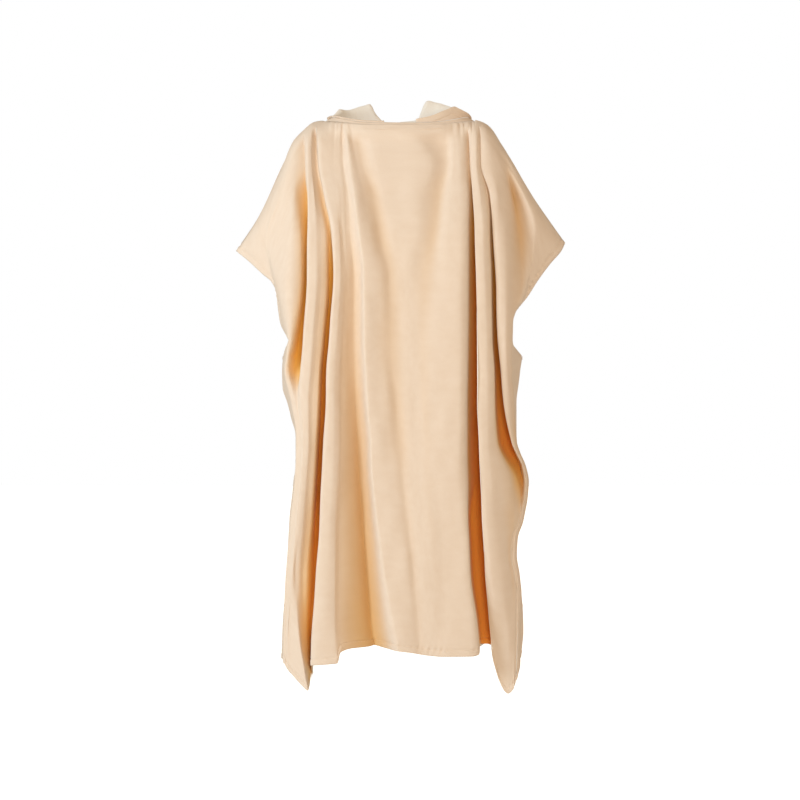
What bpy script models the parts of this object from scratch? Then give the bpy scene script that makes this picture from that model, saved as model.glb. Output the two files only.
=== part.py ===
"""Hooded bath poncho, worn: panels gathered on a neck band, and a hood of two halves thrown back.

The garment keeps the hollow form it has on a figure. +X is the wearer's left, -Y the front, +Z up. The origin
is in the middle of the shoulder line, where the wearer carries it. Sizes in the tables are millimetres.
"""
import bpy
import numpy as np

MM = 0.001
CLOTH = 2.5              # thickness of the terry cloth
THINNEST = 1.0           # of the cloth in its tightest turns
EASING = 0.85            # how much thinner each step makes a wall that turns too tightly
EASING_STEPS = 6
EASING_SHARE = 0.3       # the inner side of a turn keeps at least this share of the outer side's length
SEAM_GAP = 0.3           # clearance between two pieces at a seam
HALF_GAP = SEAM_GAP / 2

# Neckline: the ring to which the panels are gathered, and the upper edge of the band above it
NECK_HALF_WIDTH = 150
NECK_FRONT_DEPTH = 78
NECK_BACK_DEPTH = 80
NECK_FRONT_DROP = 29     # the front neckline hangs this far below the shoulder line
NECK_BACK_DROP = 16
NECK_END_DROP = 3
NECK_ROUND = 2.6         # power of the oval: 2 is an ellipse, more is squarer
BAND_RISE = 16           # height of the neck band
BAND_LEAN = 12           # the band leans in towards the neck by this much

# Shoulders, chest and skirt: half depths of the garment's round
ARM_ROUND = 60           # the cloth turns over the shoulder and arm within this drop
ARM_DEPTH = 55
CHEST_REACH = 240        # the cloth has left the neckline for the chest by this drop
BODY_HALF_WIDTH = 268
ARM_END = 560            # the arm's fullness has gone by this drop
ARM_FADE = 140
CHEST_ROUND = 2.6        # power of the chest's and the skirt's oval
REACH_ROUND = 1.7        # how fast the cloth leaves the neckline
SIDE_SHARE = 0.995       # the oval stops this far along its half width
LEAST_DEPTH = 4          # the front and back panels keep this far from the shoulder line's plane
FOLDS_START = 50         # folds reach their depth this far below the top edge
LINE_START = 40          # a line of cloth uses its place at a drop only this far below the top edge
DEPTH_DROPS = (100, 220, 340, 560, 800, 1120)
FRONT_DEPTHS = (112, 134, 144, 148, 152, 158)
BACK_DEPTHS = (118, 138, 140, 138, 142, 150)

# Mesh rows from the shoulder edge to the hem, and how they crowd towards the shoulder
PANEL_ROWS = 24
ROW_CROWDING = 1.3
FRONT_COLUMN_WIDTH = 19  # the widest a column of faces may be, along the cloth
BACK_COLUMN_WIDTH = 25

# Shoulder edge from the neck to the sleeve's tip: distance from the centre, drop
SHOULDER_RIGHT = (
    (-148, 0), (-172, 4), (-188, 15), (-212, 37), (-226, 55), (-240, 88),
    (-256, 130), (-274, 164), (-328, 262),
)
SHOULDER_LEFT = (
    (148, 0), (164, 4), (178, 12), (200, 44), (212, 62), (236, 98),
    (260, 144), (296, 200), (330, 246),
)

# Side edge from the sleeve's tip to the hem's corner: drop, distance from the centre, half width of opening
SIDE_RIGHT = (
    (262, -328, 0), (280, -306, 14), (306, -280, 30), (325, -262, 40), (345, -254, 46), (380, -249, 44),
    (420, -238, 28), (446, -228, 8), (470, -237, 0), (500, -238, 0), (530, -237, 0), (564, -227, 0),
    (600, -219, 0), (660, -212, 0), (730, -213, 0), (800, -222, 0), (860, -226, 0), (920, -233, 0),
    (966, -234, 0), (1010, -235, 5), (1076, -236, 8),
)
SIDE_LEFT = (
    (246, 330, 0), (262, 322, 12), (290, 298, 26), (325, 272, 38), (356, 252, 46), (385, 234, 46),
    (420, 224, 36), (450, 234, 14), (474, 246, 0), (500, 243, 0), (560, 237, 0), (620, 233, 0),
    (660, 243, 0), (700, 255, 0), (750, 259, 0), (800, 250, 0), (850, 238, 0), (900, 243, 0),
    (960, 247, 0), (1020, 246, 5), (1070, 241, 8),
)

# Lines of cloth, one row a line, from the wearer's right to the wearer's left.
# x at the top edge; x at drops 160, 320, 560, 800, 960 and at the hem; drop of the hem;
# depth inside the garment's round at drops 60, 320, 700 and at the hem.
LINE_DROPS = (160, 320, 560, 800, 960)
DEPTH_AT = (60, 320, 700, 1100)
FRONT_LINES = {
    #               top    160   320   560   800   960   hem  drop   d60 d320 d700 hem
    "sleeve_mid":  (-284, -284, -250, -230, -219, -230, -230, 1088,   0,   4,  46,  48),
    "sleeve":      (-232, -229, -231, -222, -214, -224, -222, 1100,   0,   0,   3,   6),
    "fold_a":      (-197, -194, -197, -210, -205, -214, -207, 1118,  11,  42,   5,   6),
    "fold_a_lip":  (-184, -175, -173, -194, -193, -201, -193, 1138,   2,   5,   5,   4),
    "fold_b":      (-173, -157, -149, -161, -171, -180, -180, 1112,  11,  54,  76,  52),
    "fold_b_lip":  (-160, -138, -127, -139, -152, -159, -168, 1088,   3,   8,   6,   4),
    "round_c":     (-136, -121, -111, -110, -112, -114, -117, 1074,   0,   0,   0,   2),
    "fold_d":      (-118, -109,  -99,  -91,  -88,  -98, -113, 1050,   7,  16,  26,  40),
    "hollow_d":    (-110, -102,  -90,  -78,  -66,  -60,  -54, 1040,   6,  13,  24,  34),
    "round_d":     ( -98,  -86,  -70,  -60,  -40,  -22,  -14, 1046,   0,   0,   0,   0),
    "fold_n":      ( -85,  -61,  -35,  -25,    8,   21,   29, 1052,   8,  12,   8,   2),
    "centre":      (   4,    8,   19,   29,   50,   58,   64, 1054,   3,   6,   0,   0),
    "round_e":     (  88,   94,   80,   79,   83,   85,   95, 1056,   0,   0,   0,   0),
    "fold_e_lip":  ( 114,  126,  129,  130,  130,  136,  150, 1056,   4,   4,   2,   2),
    "fold_e":      ( 127,  139,  143,  145,  149,  158,  171, 1044,  12,  72,  96,  92),
    "fold_f_lip":  ( 139,  149,  155,  159,  166,  178,  194, 1100,   4,   8,   6,   6),
    "round_f":     ( 148,  157,  162,  170,  181,  195,  211, 1138,   0,   2,   0,   2),
    "fold_g":      ( 156,  176,  180,  192,  208,  217,  221, 1120,  12,  48,  20,   8),
    "round_h":     ( 170,  192,  196,  206,  220,  227,  230, 1098,   0,   0,   0,   4),
    "sleeve_fold": ( 208,  232,  224,  218,  233,  234,  235, 1086,   6,  18,   8,  12),
    "sleeve_far":  ( 266,  264,  242,  228,  242,  240,  238, 1078,   0,   4,  46,  48),
}
BACK_LINES = {
    #               top    160   320   560   800   960   hem  drop   d60 d320 d700 hem
    "sleeve_mid":  (-284, -284, -249, -231, -218, -230, -229, 1096,   0,   4,  46,  48),
    "sleeve":      (-228, -228, -232, -220, -210, -218, -218, 1120,   0,   0,   0,   0),
    "fold_p":      (-198, -198, -202, -194, -188, -190, -190, 1112,  10,  30,  36,  30),
    "round_p":     (-176, -172, -170, -166, -162, -162, -164, 1092,   0,   2,   0,   0),
    "fold_q":      (-149, -142, -138, -136, -134, -134, -137, 1066,  10,  28,  50,  54),
    "round_q":     (-122, -114, -106, -104, -106, -106, -110, 1054,   0,   0,   0,   0),
    "fold_r":      ( -92,  -84,  -72,  -66,  -62,  -62,  -66, 1046,   7,  12,  34,  46),
    "round_r":     ( -58,  -50,  -36,  -28,  -22,  -22,  -26, 1046,   0,   0,   0,   0),
    "hollow_s":    (  -6,   -2,    4,   10,   16,   18,   16, 1048,   3,   8,  16,  22),
    "round_s":     (  48,   46,   46,   50,   54,   58,   56, 1048,   0,   0,   0,   0),
    "fold_t":      (  86,   82,   82,   88,   94,   96,   98, 1050,   8,  26,  58,  70),
    "round_t":     ( 116,  114,  118,  122,  128,  130,  134, 1060,   0,   2,   0,   0),
    "fold_u":      ( 146,  146,  150,  156,  160,  164,  168, 1080,  11,  38,  42,  44),
    "round_u":     ( 174,  178,  184,  186,  190,  196,  200, 1104,   0,   0,   0,   0),
    "fold_v":      ( 204,  212,  216,  210,  218,  222,  222, 1116,   8,  26,  14,  12),
    "sleeve_far":  ( 262,  264,  254,  229,  242,  240,  238, 1092,   0,   4,  46,  48),
}

# Hood thrown back, one row a place along half of the neckline, from its front corner to the back's centre.
# place; height of the free edge above the seam and how far out it lies; rise of the turn above the seam and
# how far out that is; how low the pouch hangs; how far it is drawn to the centre at its bottom.
HOOD_RIGHT = (
    # place edge out rise lean hang draw
    (0.00,   5,   1,   3,   0,   0, 0.00),
    (0.14,   9,   1,   6,   0,   0, 0.00),
    (0.30,  14,   3,  10,   0,   0, 0.00),
    (0.42,  16,   8,  16,   2,   4, 0.00),
    (0.56,  13,  30,  19,   6,  20, 0.02),
    (0.68,   0,  62,  28,   6,  90, 0.14),
    (0.80, -18,  80,  40,   8, 170, 0.28),
    (0.88, -36,  88,  20,  14, 214, 0.34),
    (1.00, -54,  92,   6,  20, 240, 0.36),
)
HOOD_LEFT = (
    # place edge out rise lean hang draw
    (0.00,   6,   1,   3,   0,   0, 0.00),
    (0.14,  11,   1,   7,   0,   0, 0.00),
    (0.30,  15,   4,  11,   0,   0, 0.00),
    (0.42,  14,  12,  15,   3,   5, 0.00),
    (0.56,  12,  30,  18,   6,  20, 0.02),
    (0.68,  -2,  66,  26,   8,  94, 0.14),
    (0.80, -20,  82,  42,   8, 172, 0.28),
    (0.88, -36,  88,  22,  14, 216, 0.34),
    (1.00, -54,  92,   6,  20, 240, 0.36),
)
POUCH_STARTS = 0.48      # place along the half neckline where the hood begins to turn over into the pouch
POUCH_FULL = 0.76
# The pouch's section from the seam to the free edge. A station lies out by a share of the turn's lean, a share
# of the free edge's distance and a distance of its own; up by shares of the turn's rise and of the free edge's
# height; down by a share of the hang; and this clear of the back panel, where that is not 0.
POUCH_SECTION = (
    # lean out apart rise edge hang clear
    (0.0, 0.0,  0, 0.0, 0.0, 0.00,  0),
    (0.3, 0.0,  0, 0.7, 0.0, 0.00,  0),
    (1.0, 0.0,  3, 1.0, 0.0, 0.00,  0),
    (1.0, 0.0,  9, 0.6, 0.0, 0.12,  5),
    (1.0, 0.0, 12, 0.0, 0.0, 0.50,  5),
    (1.0, 0.0, 14, 0.0, 0.0, 0.86,  8),
    (1.0, 0.0, 24, 0.0, 0.0, 1.00, 20),
    (1.0, 0.0, 34, 0.0, 0.0, 0.86, 34),
    (0.5, 0.5, 20, 0.0, 0.5, 0.50, 40),
    (0.0, 1.0,  0, 0.0, 1.0, 0.00, 40),
)
BACK_EASE = 12           # the pouch is held off the back panel from this far above the panel's top edge
HOOD_LIFT = 0.9          # the hood's seam runs this far above the band's edge
HOOD_CORNER = 34         # the hood starts this far from the middle of the front neckline
HOOD_COLUMNS = 16
HOOD_ROWS = 16
BAND_ROWS = 3


def hermite(knots, values, at):
    """A smooth curve through the knots that never swings past them: cubic pieces, harmonic mean slopes."""
    knots = np.asarray(knots, float)
    values = np.asarray(values, float)
    step = np.diff(knots)
    slope = np.diff(values) / step
    tangent = np.zeros_like(values)
    same_way = slope[:-1] * slope[1:] > 0
    both = np.where(same_way, slope[:-1] + slope[1:], 1)
    tangent[1:-1] = np.where(same_way, 2 * slope[:-1] * slope[1:] / both, 0)
    tangent[0], tangent[-1] = slope[0], slope[-1]
    at = np.clip(at, knots[0], knots[-1])
    i = np.clip(np.searchsorted(knots, at, side="right") - 1, 0, len(step) - 1)
    t = (at - knots[i]) / step[i]
    start = values[i] * (1 + 2 * t) * (1 - t) ** 2 + values[i + 1] * t * t * (3 - 2 * t)
    return start + step[i] * (tangent[i] * t * (1 - t) ** 2 + tangent[i + 1] * t * t * (t - 1))


def shoulder_drop(x):
    """Drop of the shoulder edge at a distance from the centre."""
    right = np.array(SHOULDER_RIGHT, float)
    left = np.array(SHOULDER_LEFT, float)
    on_right = hermite(-right[:, 0], right[:, 1], -x)
    on_left = hermite(left[:, 0], left[:, 1], x)
    return np.where(x < 0, on_right, on_left)


def neck_height(share, front):
    """Drop of the gathered neckline, from the share of its half width."""
    middle = NECK_FRONT_DROP if front else NECK_BACK_DROP
    return NECK_END_DROP + (middle - NECK_END_DROP) * (1 - np.clip(share, 0, 1) ** 4)


def neck_depth(share, front):
    """Distance of the gathered neckline before or behind the shoulder line: a flattened oval."""
    reach = NECK_FRONT_DEPTH if front else NECK_BACK_DEPTH
    return reach * np.sqrt(1 - np.clip(share, 0, 1) ** NECK_ROUND)


def garment_depth(x, drop, top, edge_depth, front):
    """Depth of the garment's round: out of the neckline or over the arm, then on to chest and skirt."""
    depths = FRONT_DEPTHS if front else BACK_DEPTHS
    share = np.clip(np.abs(x) / BODY_HALF_WIDTH, 0, SIDE_SHARE)
    body = hermite(DEPTH_DROPS, depths, drop) * np.sqrt(1 - share ** CHEST_ROUND)
    arm = ARM_DEPTH * np.clip((ARM_END - drop) / ARM_FADE, 0, 1)
    full = (body ** 3 + arm ** 3) ** (1 / 3)
    fall = drop - top
    turn = np.sqrt(np.clip(1 - (1 - np.clip(fall / ARM_ROUND, 0, 1)) ** 2, 0, 1))
    near = edge_depth + np.clip(ARM_DEPTH - edge_depth, 0, None) * turn
    reach = 1 - (1 - np.clip(fall / CHEST_REACH, 0, 1)) ** REACH_ROUND
    return near + np.clip(full - near, 0, None) * reach


def fold_line(row, front):
    """Points of one line of cloth from the top edge to the hem, one a mesh row."""
    top_x, xs, hem_x, hem_drop, depths = row[0], row[1:6], row[6], row[7], row[8:12]
    share = abs(top_x) / NECK_HALF_WIDTH
    on_neck = share < 1
    top = float(neck_height(share, front)) if on_neck else float(shoulder_drop(np.array([float(top_x)]))[0])
    edge_depth = float(neck_depth(share, front)) if on_neck else 0
    places = [(d, x) for d, x in zip(LINE_DROPS, xs) if d > top + LINE_START]
    knots = [(top, top_x)] + places + [(hem_drop, hem_x)]
    rows = np.linspace(0, 1, PANEL_ROWS + 1) ** ROW_CROWDING
    drop = top + (hem_drop - top) * rows
    x = hermite([k[0] for k in knots], [k[1] for k in knots], drop)
    inside = hermite(DEPTH_AT, depths, drop) * np.clip((drop - top) / FOLDS_START, 0, 1)
    depth = garment_depth(x, drop, top, edge_depth, front) - inside
    side = -1 if front else 1
    return np.stack([x, side * np.maximum(depth, LEAST_DEPTH * (drop > top)), -drop], axis=1)


def side_line(table, front):
    """Points of a panel's side edge: sleeve opening, side seam and vent."""
    rows = np.linspace(0, 1, PANEL_ROWS + 1) ** ROW_CROWDING
    drops, xs, opening = (np.array(c, float) for c in zip(*table))
    drop = drops[0] + (drops[-1] - drops[0]) * rows
    side = -1 if front else 1
    y = side * np.maximum(hermite(drops, opening, drop), HALF_GAP)
    return np.stack([hermite(drops, xs, drop), y, -drop], axis=1)


def spline_across(lines, widest):
    """Columns on a smooth curve through the lines of cloth: cubic pieces, knots by the root of distance."""
    lines = np.stack(lines)
    chord = np.linalg.norm(np.diff(lines, axis=0), axis=2)
    knot = np.sqrt(np.maximum(chord, 1))
    slope = np.diff(lines, axis=0) / knot[..., None]
    tangent = np.empty_like(lines)
    before, after = knot[:-1, :, None], knot[1:, :, None]
    tangent[1:-1] = (slope[:-1] * after + slope[1:] * before) / (before + after)
    tangent[0], tangent[-1] = slope[0], slope[-1]
    columns = []
    for k, reach in enumerate(chord.mean(axis=1)):
        count = max(2, int(np.ceil(reach / widest)))
        for t in np.arange(count) / count:
            start = lines[k] * (1 + 2 * t) * (1 - t) ** 2 + lines[k + 1] * t * t * (3 - 2 * t)
            bend = tangent[k] * t * (1 - t) ** 2 + tangent[k + 1] * t * t * (t - 1)
            columns.append(start + bend * knot[k][:, None])
    columns.append(lines[-1])
    return np.stack(columns, axis=1)


def outward(grid, flip):
    """Unit normals of a grid of points, from the steps along its rows and columns."""
    normal = np.cross(np.gradient(grid, axis=0), np.gradient(grid, axis=1))
    normal = normal / np.maximum(np.linalg.norm(normal, axis=2, keepdims=True), 1e-9)
    return -normal if flip else normal


def square_to(normal, axis):
    """The same normals with no part along one axis, so that a wall ends square at its seam."""
    normal = normal.copy()
    normal[..., axis] = 0
    return normal / np.maximum(np.linalg.norm(normal, axis=-1, keepdims=True), 1e-9)


def eased_thickness(outer, normal, thickness):
    """Wall thickness at each point: less where a tight turn would make its inner side cross itself."""
    thick = np.full(outer.shape[:2], float(thickness))
    for _ in range(EASING_STEPS):
        inner = outer - normal * thick[..., None]
        for axis in (0, 1):
            step = np.diff(outer, axis=axis)
            inner_step = np.diff(inner, axis=axis)
            tight = (step * inner_step).sum(-1) < EASING_SHARE * (step * step).sum(-1)
            if axis == 0:
                thick[:-1][tight] *= EASING
                thick[1:][tight] *= EASING
            else:
                thick[:, :-1][tight] *= EASING
                thick[:, 1:][tight] *= EASING
    return np.maximum(thick, THINNEST)


def cloth_wall(name, outer, normal, colour, thickness=CLOTH, ring=False):
    """A closed wall of cloth: the outer grid, the same grid moved in by the thickness, and their rims."""
    inner = outer - normal * eased_thickness(outer, normal, thickness)[..., None]
    rows, columns = outer.shape[:2]
    index = np.arange(rows * columns).reshape(rows, columns)
    if ring:
        index = np.concatenate([index, index[:, :1]], axis=1)
    under = index + rows * columns
    face = [np.stack([index[1:, :-1], index[1:, 1:], index[:-1, 1:], index[:-1, :-1]], -1).reshape(-1, 4)]
    face += [np.stack([under[:-1, :-1], under[:-1, 1:], under[1:, 1:], under[1:, :-1]], -1).reshape(-1, 4)]
    rims = [(index[0], under[0]), (under[-1], index[-1])]
    if not ring:
        rims += [(under[:, 0], index[:, 0]), (index[:, -1], under[:, -1])]
    for a, b in rims:
        face.append(np.stack([a[:-1], a[1:], b[1:], b[:-1]], -1))
    points = np.concatenate([outer.reshape(-1, 3), inner.reshape(-1, 3)]) * MM
    mesh = bpy.data.meshes.new(name)
    mesh.from_pydata(points.tolist(), [], np.concatenate(face).tolist())
    mesh.validate()
    mesh.shade_smooth()
    mesh.materials.append(cloth_material(name, colour))
    piece = bpy.data.objects.new(name, mesh)
    bpy.context.collection.objects.link(piece)
    return piece


def cloth_material(name, colour):
    """Matt cloth of one colour."""
    material = bpy.data.materials.new(name + "_cloth")
    material.use_nodes = True
    shader = material.node_tree.nodes["Principled BSDF"]
    shader.inputs["Base Color"].default_value = (*colour, 1)
    shader.inputs["Roughness"].default_value = 0.95
    shader.inputs["Metallic"].default_value = 0
    return material


def panel(name, table, front, widest, colour):
    """A front or back panel, from its top edge to its hem and from one side edge to the other."""
    lines = [fold_line(row, front) for row in table.values()]
    lines = [side_line(SIDE_RIGHT, front)] + lines + [side_line(SIDE_LEFT, front)]
    grid = spline_across(lines, widest)
    on_shoulder = np.abs(grid[0, :, 0]) > NECK_HALF_WIDTH
    side = -1 if front else 1
    grid[0, on_shoulder, 1] = side * HALF_GAP
    neck_x = grid[0, ~on_shoulder, 0]
    grid[0, ~on_shoulder] = neck_edge(neck_x, front)
    normal = outward(grid, flip=not front)
    normal[0, on_shoulder] = square_to(normal[0, on_shoulder], 1)
    normal[0, ~on_shoulder] = neck_normal(neck_x, front)
    for column in (0, -1):
        seam = np.abs(grid[:, column, 1]) <= HALF_GAP
        normal[seam, column] = square_to(normal[seam, column], 1)
    if not front:
        grid, normal, neck_x = grid[:, ::-1], normal[:, ::-1], neck_x[::-1]
    cloth_wall(name, grid, normal, colour)
    return neck_x


def neck_edge(x, front, height=0.0):
    """Points of the neckline: height 0 is the gathered edge, 1 the band's upper edge."""
    share = np.abs(x) / NECK_HALF_WIDTH
    side = -1 if front else 1
    depth = np.maximum(neck_depth(share, front) * (1 - height * BAND_LEAN / NECK_FRONT_DEPTH), HALF_GAP)
    across = x * (1 - height * BAND_LEAN / NECK_HALF_WIDTH)
    return np.stack([across, side * depth, height * BAND_RISE - neck_height(share, front)], -1)


def neck_normal(x, front):
    """Level unit vectors square to the neckline, pointing away from the neck."""
    share = np.clip(np.abs(x) / NECK_HALF_WIDTH, 0, 1)
    reach = NECK_FRONT_DEPTH if front else NECK_BACK_DEPTH
    side = -1 if front else 1
    across = NECK_ROUND * share ** (NECK_ROUND - 1) / NECK_HALF_WIDTH * np.sign(x)
    along = side * 2 * np.sqrt(np.clip(1 - share ** NECK_ROUND, 0, 1)) / reach
    normal = np.stack([across, along, np.zeros_like(x)], -1)
    return normal / np.maximum(np.linalg.norm(normal, axis=-1, keepdims=True), 1e-9)


def neck_band(front_x, back_x, colour):
    """The straight band that gathers both panels: a ring with its points over those of their top edges."""
    rows, normals = [], []
    for height in np.linspace(0, 1, BAND_ROWS):
        ring = [neck_edge(front_x[::-1], True, height), neck_edge(back_x[::-1], False, height)]
        lift = SEAM_GAP * (1 - height)
        rows.append(np.concatenate(ring) + np.array([0, 0, lift]))
        normals.append(np.concatenate([neck_normal(front_x[::-1], True), neck_normal(back_x[::-1], False)]))
    return cloth_wall("neck_band", np.stack(rows), np.stack(normals), colour, ring=True)


def off_the_back(spots, clearance):
    """Points moved back until they lie clear of the back panel, where they are below its top edge."""
    x, drop = spots[:, 0], -spots[:, 2]
    share = np.abs(x) / NECK_HALF_WIDTH
    on_neck = share < 1
    top = np.where(on_neck, neck_height(share, False), shoulder_drop(x))
    edge_depth = np.where(on_neck, neck_depth(share, False), 0)
    panel_depth = garment_depth(x, np.maximum(drop, top), top, edge_depth, False)
    low = np.clip((drop - top) / BACK_EASE + 1, 0, 1)
    held = np.maximum(spots[:, 1], (panel_depth + clearance) * low)
    spots[:, 1] = np.where(low > 0, held, spots[:, 1])
    return spots


def hood_half(name, table, side, colour):
    """Half of the hood. At its front corner it is a low standing strip from the seam to the free edge. Behind
    the neck it rises from the seam, turns over, hangs down the back and comes up again as a pouch."""
    table = np.array(table, float)
    place = np.linspace(0, 1, HOOD_COLUMNS + 1)
    edge, out, rise, lean, hang, draw = (hermite(table[:, 0], table[:, c], place) for c in range(1, 7))
    first = np.arcsin(HOOD_CORNER / NECK_HALF_WIDTH)
    turn = first + (np.pi - first) * place
    x = -np.sin(turn) * NECK_HALF_WIDTH
    on_front = (turn < np.pi / 2)[:, None]
    seam = np.where(on_front, neck_edge(x, True, 1.0), neck_edge(x, False, 1.0))
    seam = seam + np.array([0, 0, HOOD_LIFT])
    away = seam * np.array([1, 2, 0])
    away /= np.linalg.norm(away, axis=1, keepdims=True)

    def point(out_by, up_by, clearance=0):
        spot = seam + away * out_by[:, None] + np.array([0, 0, 1.0]) * up_by[:, None]
        spot[:, 0] *= 1 - draw * np.clip(-up_by / np.maximum(hang, 1), 0, 1)
        return off_the_back(spot, clearance) if clearance else spot

    pouch = []
    for of_lean, of_out, apart, of_rise, of_edge, of_hang, clearance in POUCH_SECTION:
        out_by = lean * of_lean + out * of_out + apart
        up_by = rise * of_rise + edge * of_edge - hang * of_hang
        pouch.append(point(out_by, up_by, clearance))
    strip = [point(out * share ** 2, edge * share) for share in np.linspace(0, 1, len(pouch))]
    blend = np.clip((place - POUCH_STARTS) / (POUCH_FULL - POUCH_STARTS), 0, 1)
    blend = (blend * blend * (3 - 2 * blend))[:, None]
    stations = np.stack([a * (1 - blend) + b * blend for a, b in zip(strip, pouch)])
    along = np.linspace(0, len(pouch) - 1, HOOD_ROWS + 1)
    grid = np.empty((HOOD_ROWS + 1, HOOD_COLUMNS + 1, 3))
    for column in range(HOOD_COLUMNS + 1):
        for axis in range(3):
            grid[:, column, axis] = hermite(np.arange(len(pouch)), stations[:, column, axis], along)
    grid[:, :, 0] = -np.maximum(np.abs(grid[:, :, 0]), HALF_GAP)
    grid[:, -1, 0] = -HALF_GAP
    normal = outward(grid, flip=False)
    normal[0] = np.where(on_front, neck_normal(x, True), neck_normal(x, False))
    normal[:, -1] = square_to(normal[:, -1], 0)
    if side > 0:
        mirror = np.array([-1, 1, 1])
        grid, normal = (grid * mirror)[:, ::-1], (normal * mirror)[:, ::-1]
    return cloth_wall(name, grid, normal, colour)


def build():
    """Clear the scene and sew the poncho."""
    for thing in list(bpy.data.objects):
        bpy.data.objects.remove(thing)
    apricot = (0.84, 0.65, 0.45)
    front_x = panel("front_panel", FRONT_LINES, True, FRONT_COLUMN_WIDTH, apricot)
    back_x = panel("back_panel", BACK_LINES, False, BACK_COLUMN_WIDTH, apricot)
    neck_band(front_x, back_x, apricot)
    hood_half("hood_right", HOOD_RIGHT, -1, apricot)
    hood_half("hood_left", HOOD_LEFT, 1, apricot)


build()
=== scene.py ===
import math
import bpy
import numpy as np
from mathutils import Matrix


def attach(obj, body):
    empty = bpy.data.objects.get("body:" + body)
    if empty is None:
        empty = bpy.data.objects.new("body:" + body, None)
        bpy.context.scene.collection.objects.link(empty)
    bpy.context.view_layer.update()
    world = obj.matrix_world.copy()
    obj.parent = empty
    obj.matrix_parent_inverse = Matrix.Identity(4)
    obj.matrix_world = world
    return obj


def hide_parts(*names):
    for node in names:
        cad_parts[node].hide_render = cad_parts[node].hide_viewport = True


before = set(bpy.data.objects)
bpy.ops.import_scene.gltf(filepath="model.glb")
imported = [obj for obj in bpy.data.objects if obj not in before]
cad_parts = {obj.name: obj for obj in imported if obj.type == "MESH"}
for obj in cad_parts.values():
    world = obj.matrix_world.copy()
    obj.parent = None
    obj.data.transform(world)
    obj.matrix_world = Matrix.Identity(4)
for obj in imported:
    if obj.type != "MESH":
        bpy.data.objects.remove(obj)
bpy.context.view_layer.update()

mm = 0.001
clothThickness = 2.2 * mm
sewnGap = 0.15          # half the gap between two pieces at a seam, in mm
leastStep = 0.05        # between two lines of cloth, in mm


# monotone cubic through the knots: each slope is the harmonic mean of the two chords beside it
def smoothCurve(knots, values, at):
    knots = np.asarray(knots, float)
    values = np.asarray(values, float)
    step = np.diff(knots)
    slope = np.diff(values) / step
    tangent = np.zeros_like(values)
    sameWay = slope[:-1] * slope[1:] > 0
    both = np.where(sameWay, slope[:-1] + slope[1:], 1)
    tangent[1:-1] = np.where(sameWay, 2 * slope[:-1] * slope[1:] / both, 0)
    tangent[0], tangent[-1] = slope[0], slope[-1]
    at = np.clip(at, knots[0], knots[-1])
    i = np.clip(np.searchsorted(knots, at, side="right") - 1, 0, len(step) - 1)
    return cubic(values, tangent, step, i, (at - knots[i]) / step[i])


# the cubic between knots i and i + 1 with the given tangents, a share t of the way
def cubic(values, tangent, step, i, t):
    ends = values[i] * (1 + 2 * t) * (1 - t) ** 2 + values[i + 1] * t * t * (3 - 2 * t)
    return ends + step[i] * (tangent[i] * t * (1 - t) ** 2 + tangent[i + 1] * t * t * (t - 1))


# 0 below low, 1 above high, a smooth S between
def ease(value, low, high):
    t = np.clip((value - low) / (high - low), 0, 1)
    return t * t * (3 - 2 * t)


def unit(vectors):
    return vectors / np.maximum(np.linalg.norm(vectors, axis=-1, keepdims=True), 1e-12)


# unit vectors square to a grid: the cross product of its steps down the rows and along the columns
def gridNormal(grid):
    return unit(np.cross(np.gradient(grid, axis=0), np.gradient(grid, axis=1)))


# distance from the first point on, along an axis of a grid or a path
def runAlong(points, axis):
    first = np.take(points, [0], axis=axis)
    return np.cumsum(np.linalg.norm(np.diff(points, axis=axis, prepend=first), axis=-1), axis=axis)


# A smooth surface through lines, as cubic pieces. Each slope is the harmonic mean of those beside it,
# weighted by the knots, so the surface never swings past a line.
def throughLines(lines, knot, place):
    slope = np.diff(lines, axis=0) / knot
    before, after = knot[:-1], knot[1:]
    sameWay = slope[:-1] * slope[1:] > 0
    first = np.where(sameWay, slope[:-1], 1)
    second = np.where(sameWay, slope[1:], 1)
    mean = 3 * (before + after) / ((before + 2 * after) / first + (2 * before + after) / second)
    tangent = np.zeros_like(lines)
    tangent[1:-1] = np.where(sameWay, mean, 0)
    tangent[0], tangent[-1] = slope[0], slope[-1]
    k = np.clip(place.astype(int), 0, len(lines) - 2)
    return cubic(lines, tangent, knot, k, (place - k)[:, None, None])


# the grid across a panel's lines, its knots spaced by the distance between the lines
def acrossLines(lines, place):
    chord = np.linalg.norm(np.diff(lines[..., :3], axis=0), axis=2)
    return throughLines(lines, np.maximum(chord, leastStep)[..., None], place).transpose(1, 0, 2)


# how far a grid's direction turns from one column to the next
def sharpness(grid):
    return np.linalg.norm(np.diff(unit(np.diff(grid, axis=1)), axis=1), axis=2)


# samples taken between two lines, the quantile of the rows' turns that counts, and how strongly a turn
# and an edge draw columns to them
columnValues = {"samples": 24, "turned": 0.8, "turnCare": 5, "edgeCare": 2.2, "edgeReach": 14}


# columns share out the length across, and come closer where the cloth turns and beside its two edges
def chooseColumns(lines, count):
    v = columnValues
    fine = np.linspace(0, len(lines) - 1, v["samples"] * (len(lines) - 1) + 1)
    grid = acrossLines(lines, fine)[..., :3]
    turn = sharpness(grid)
    along = runAlong(grid, 1).mean(axis=0)
    need = np.diff(along)
    turned = v["turnCare"] * np.quantile(turn, v["turned"], axis=0)
    need[1:] += turned
    need[:-1] += turned
    middle = (along[1:] + along[:-1]) / 2
    fromEdge = np.minimum(middle, along[-1] - middle)
    need *= 1 + v["edgeCare"] * np.exp(-(fromEdge / v["edgeReach"]) ** 2)
    total = np.concatenate([[0], np.cumsum(need)])
    return np.interp(np.linspace(0, total[-1], count), total, fine)


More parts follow.
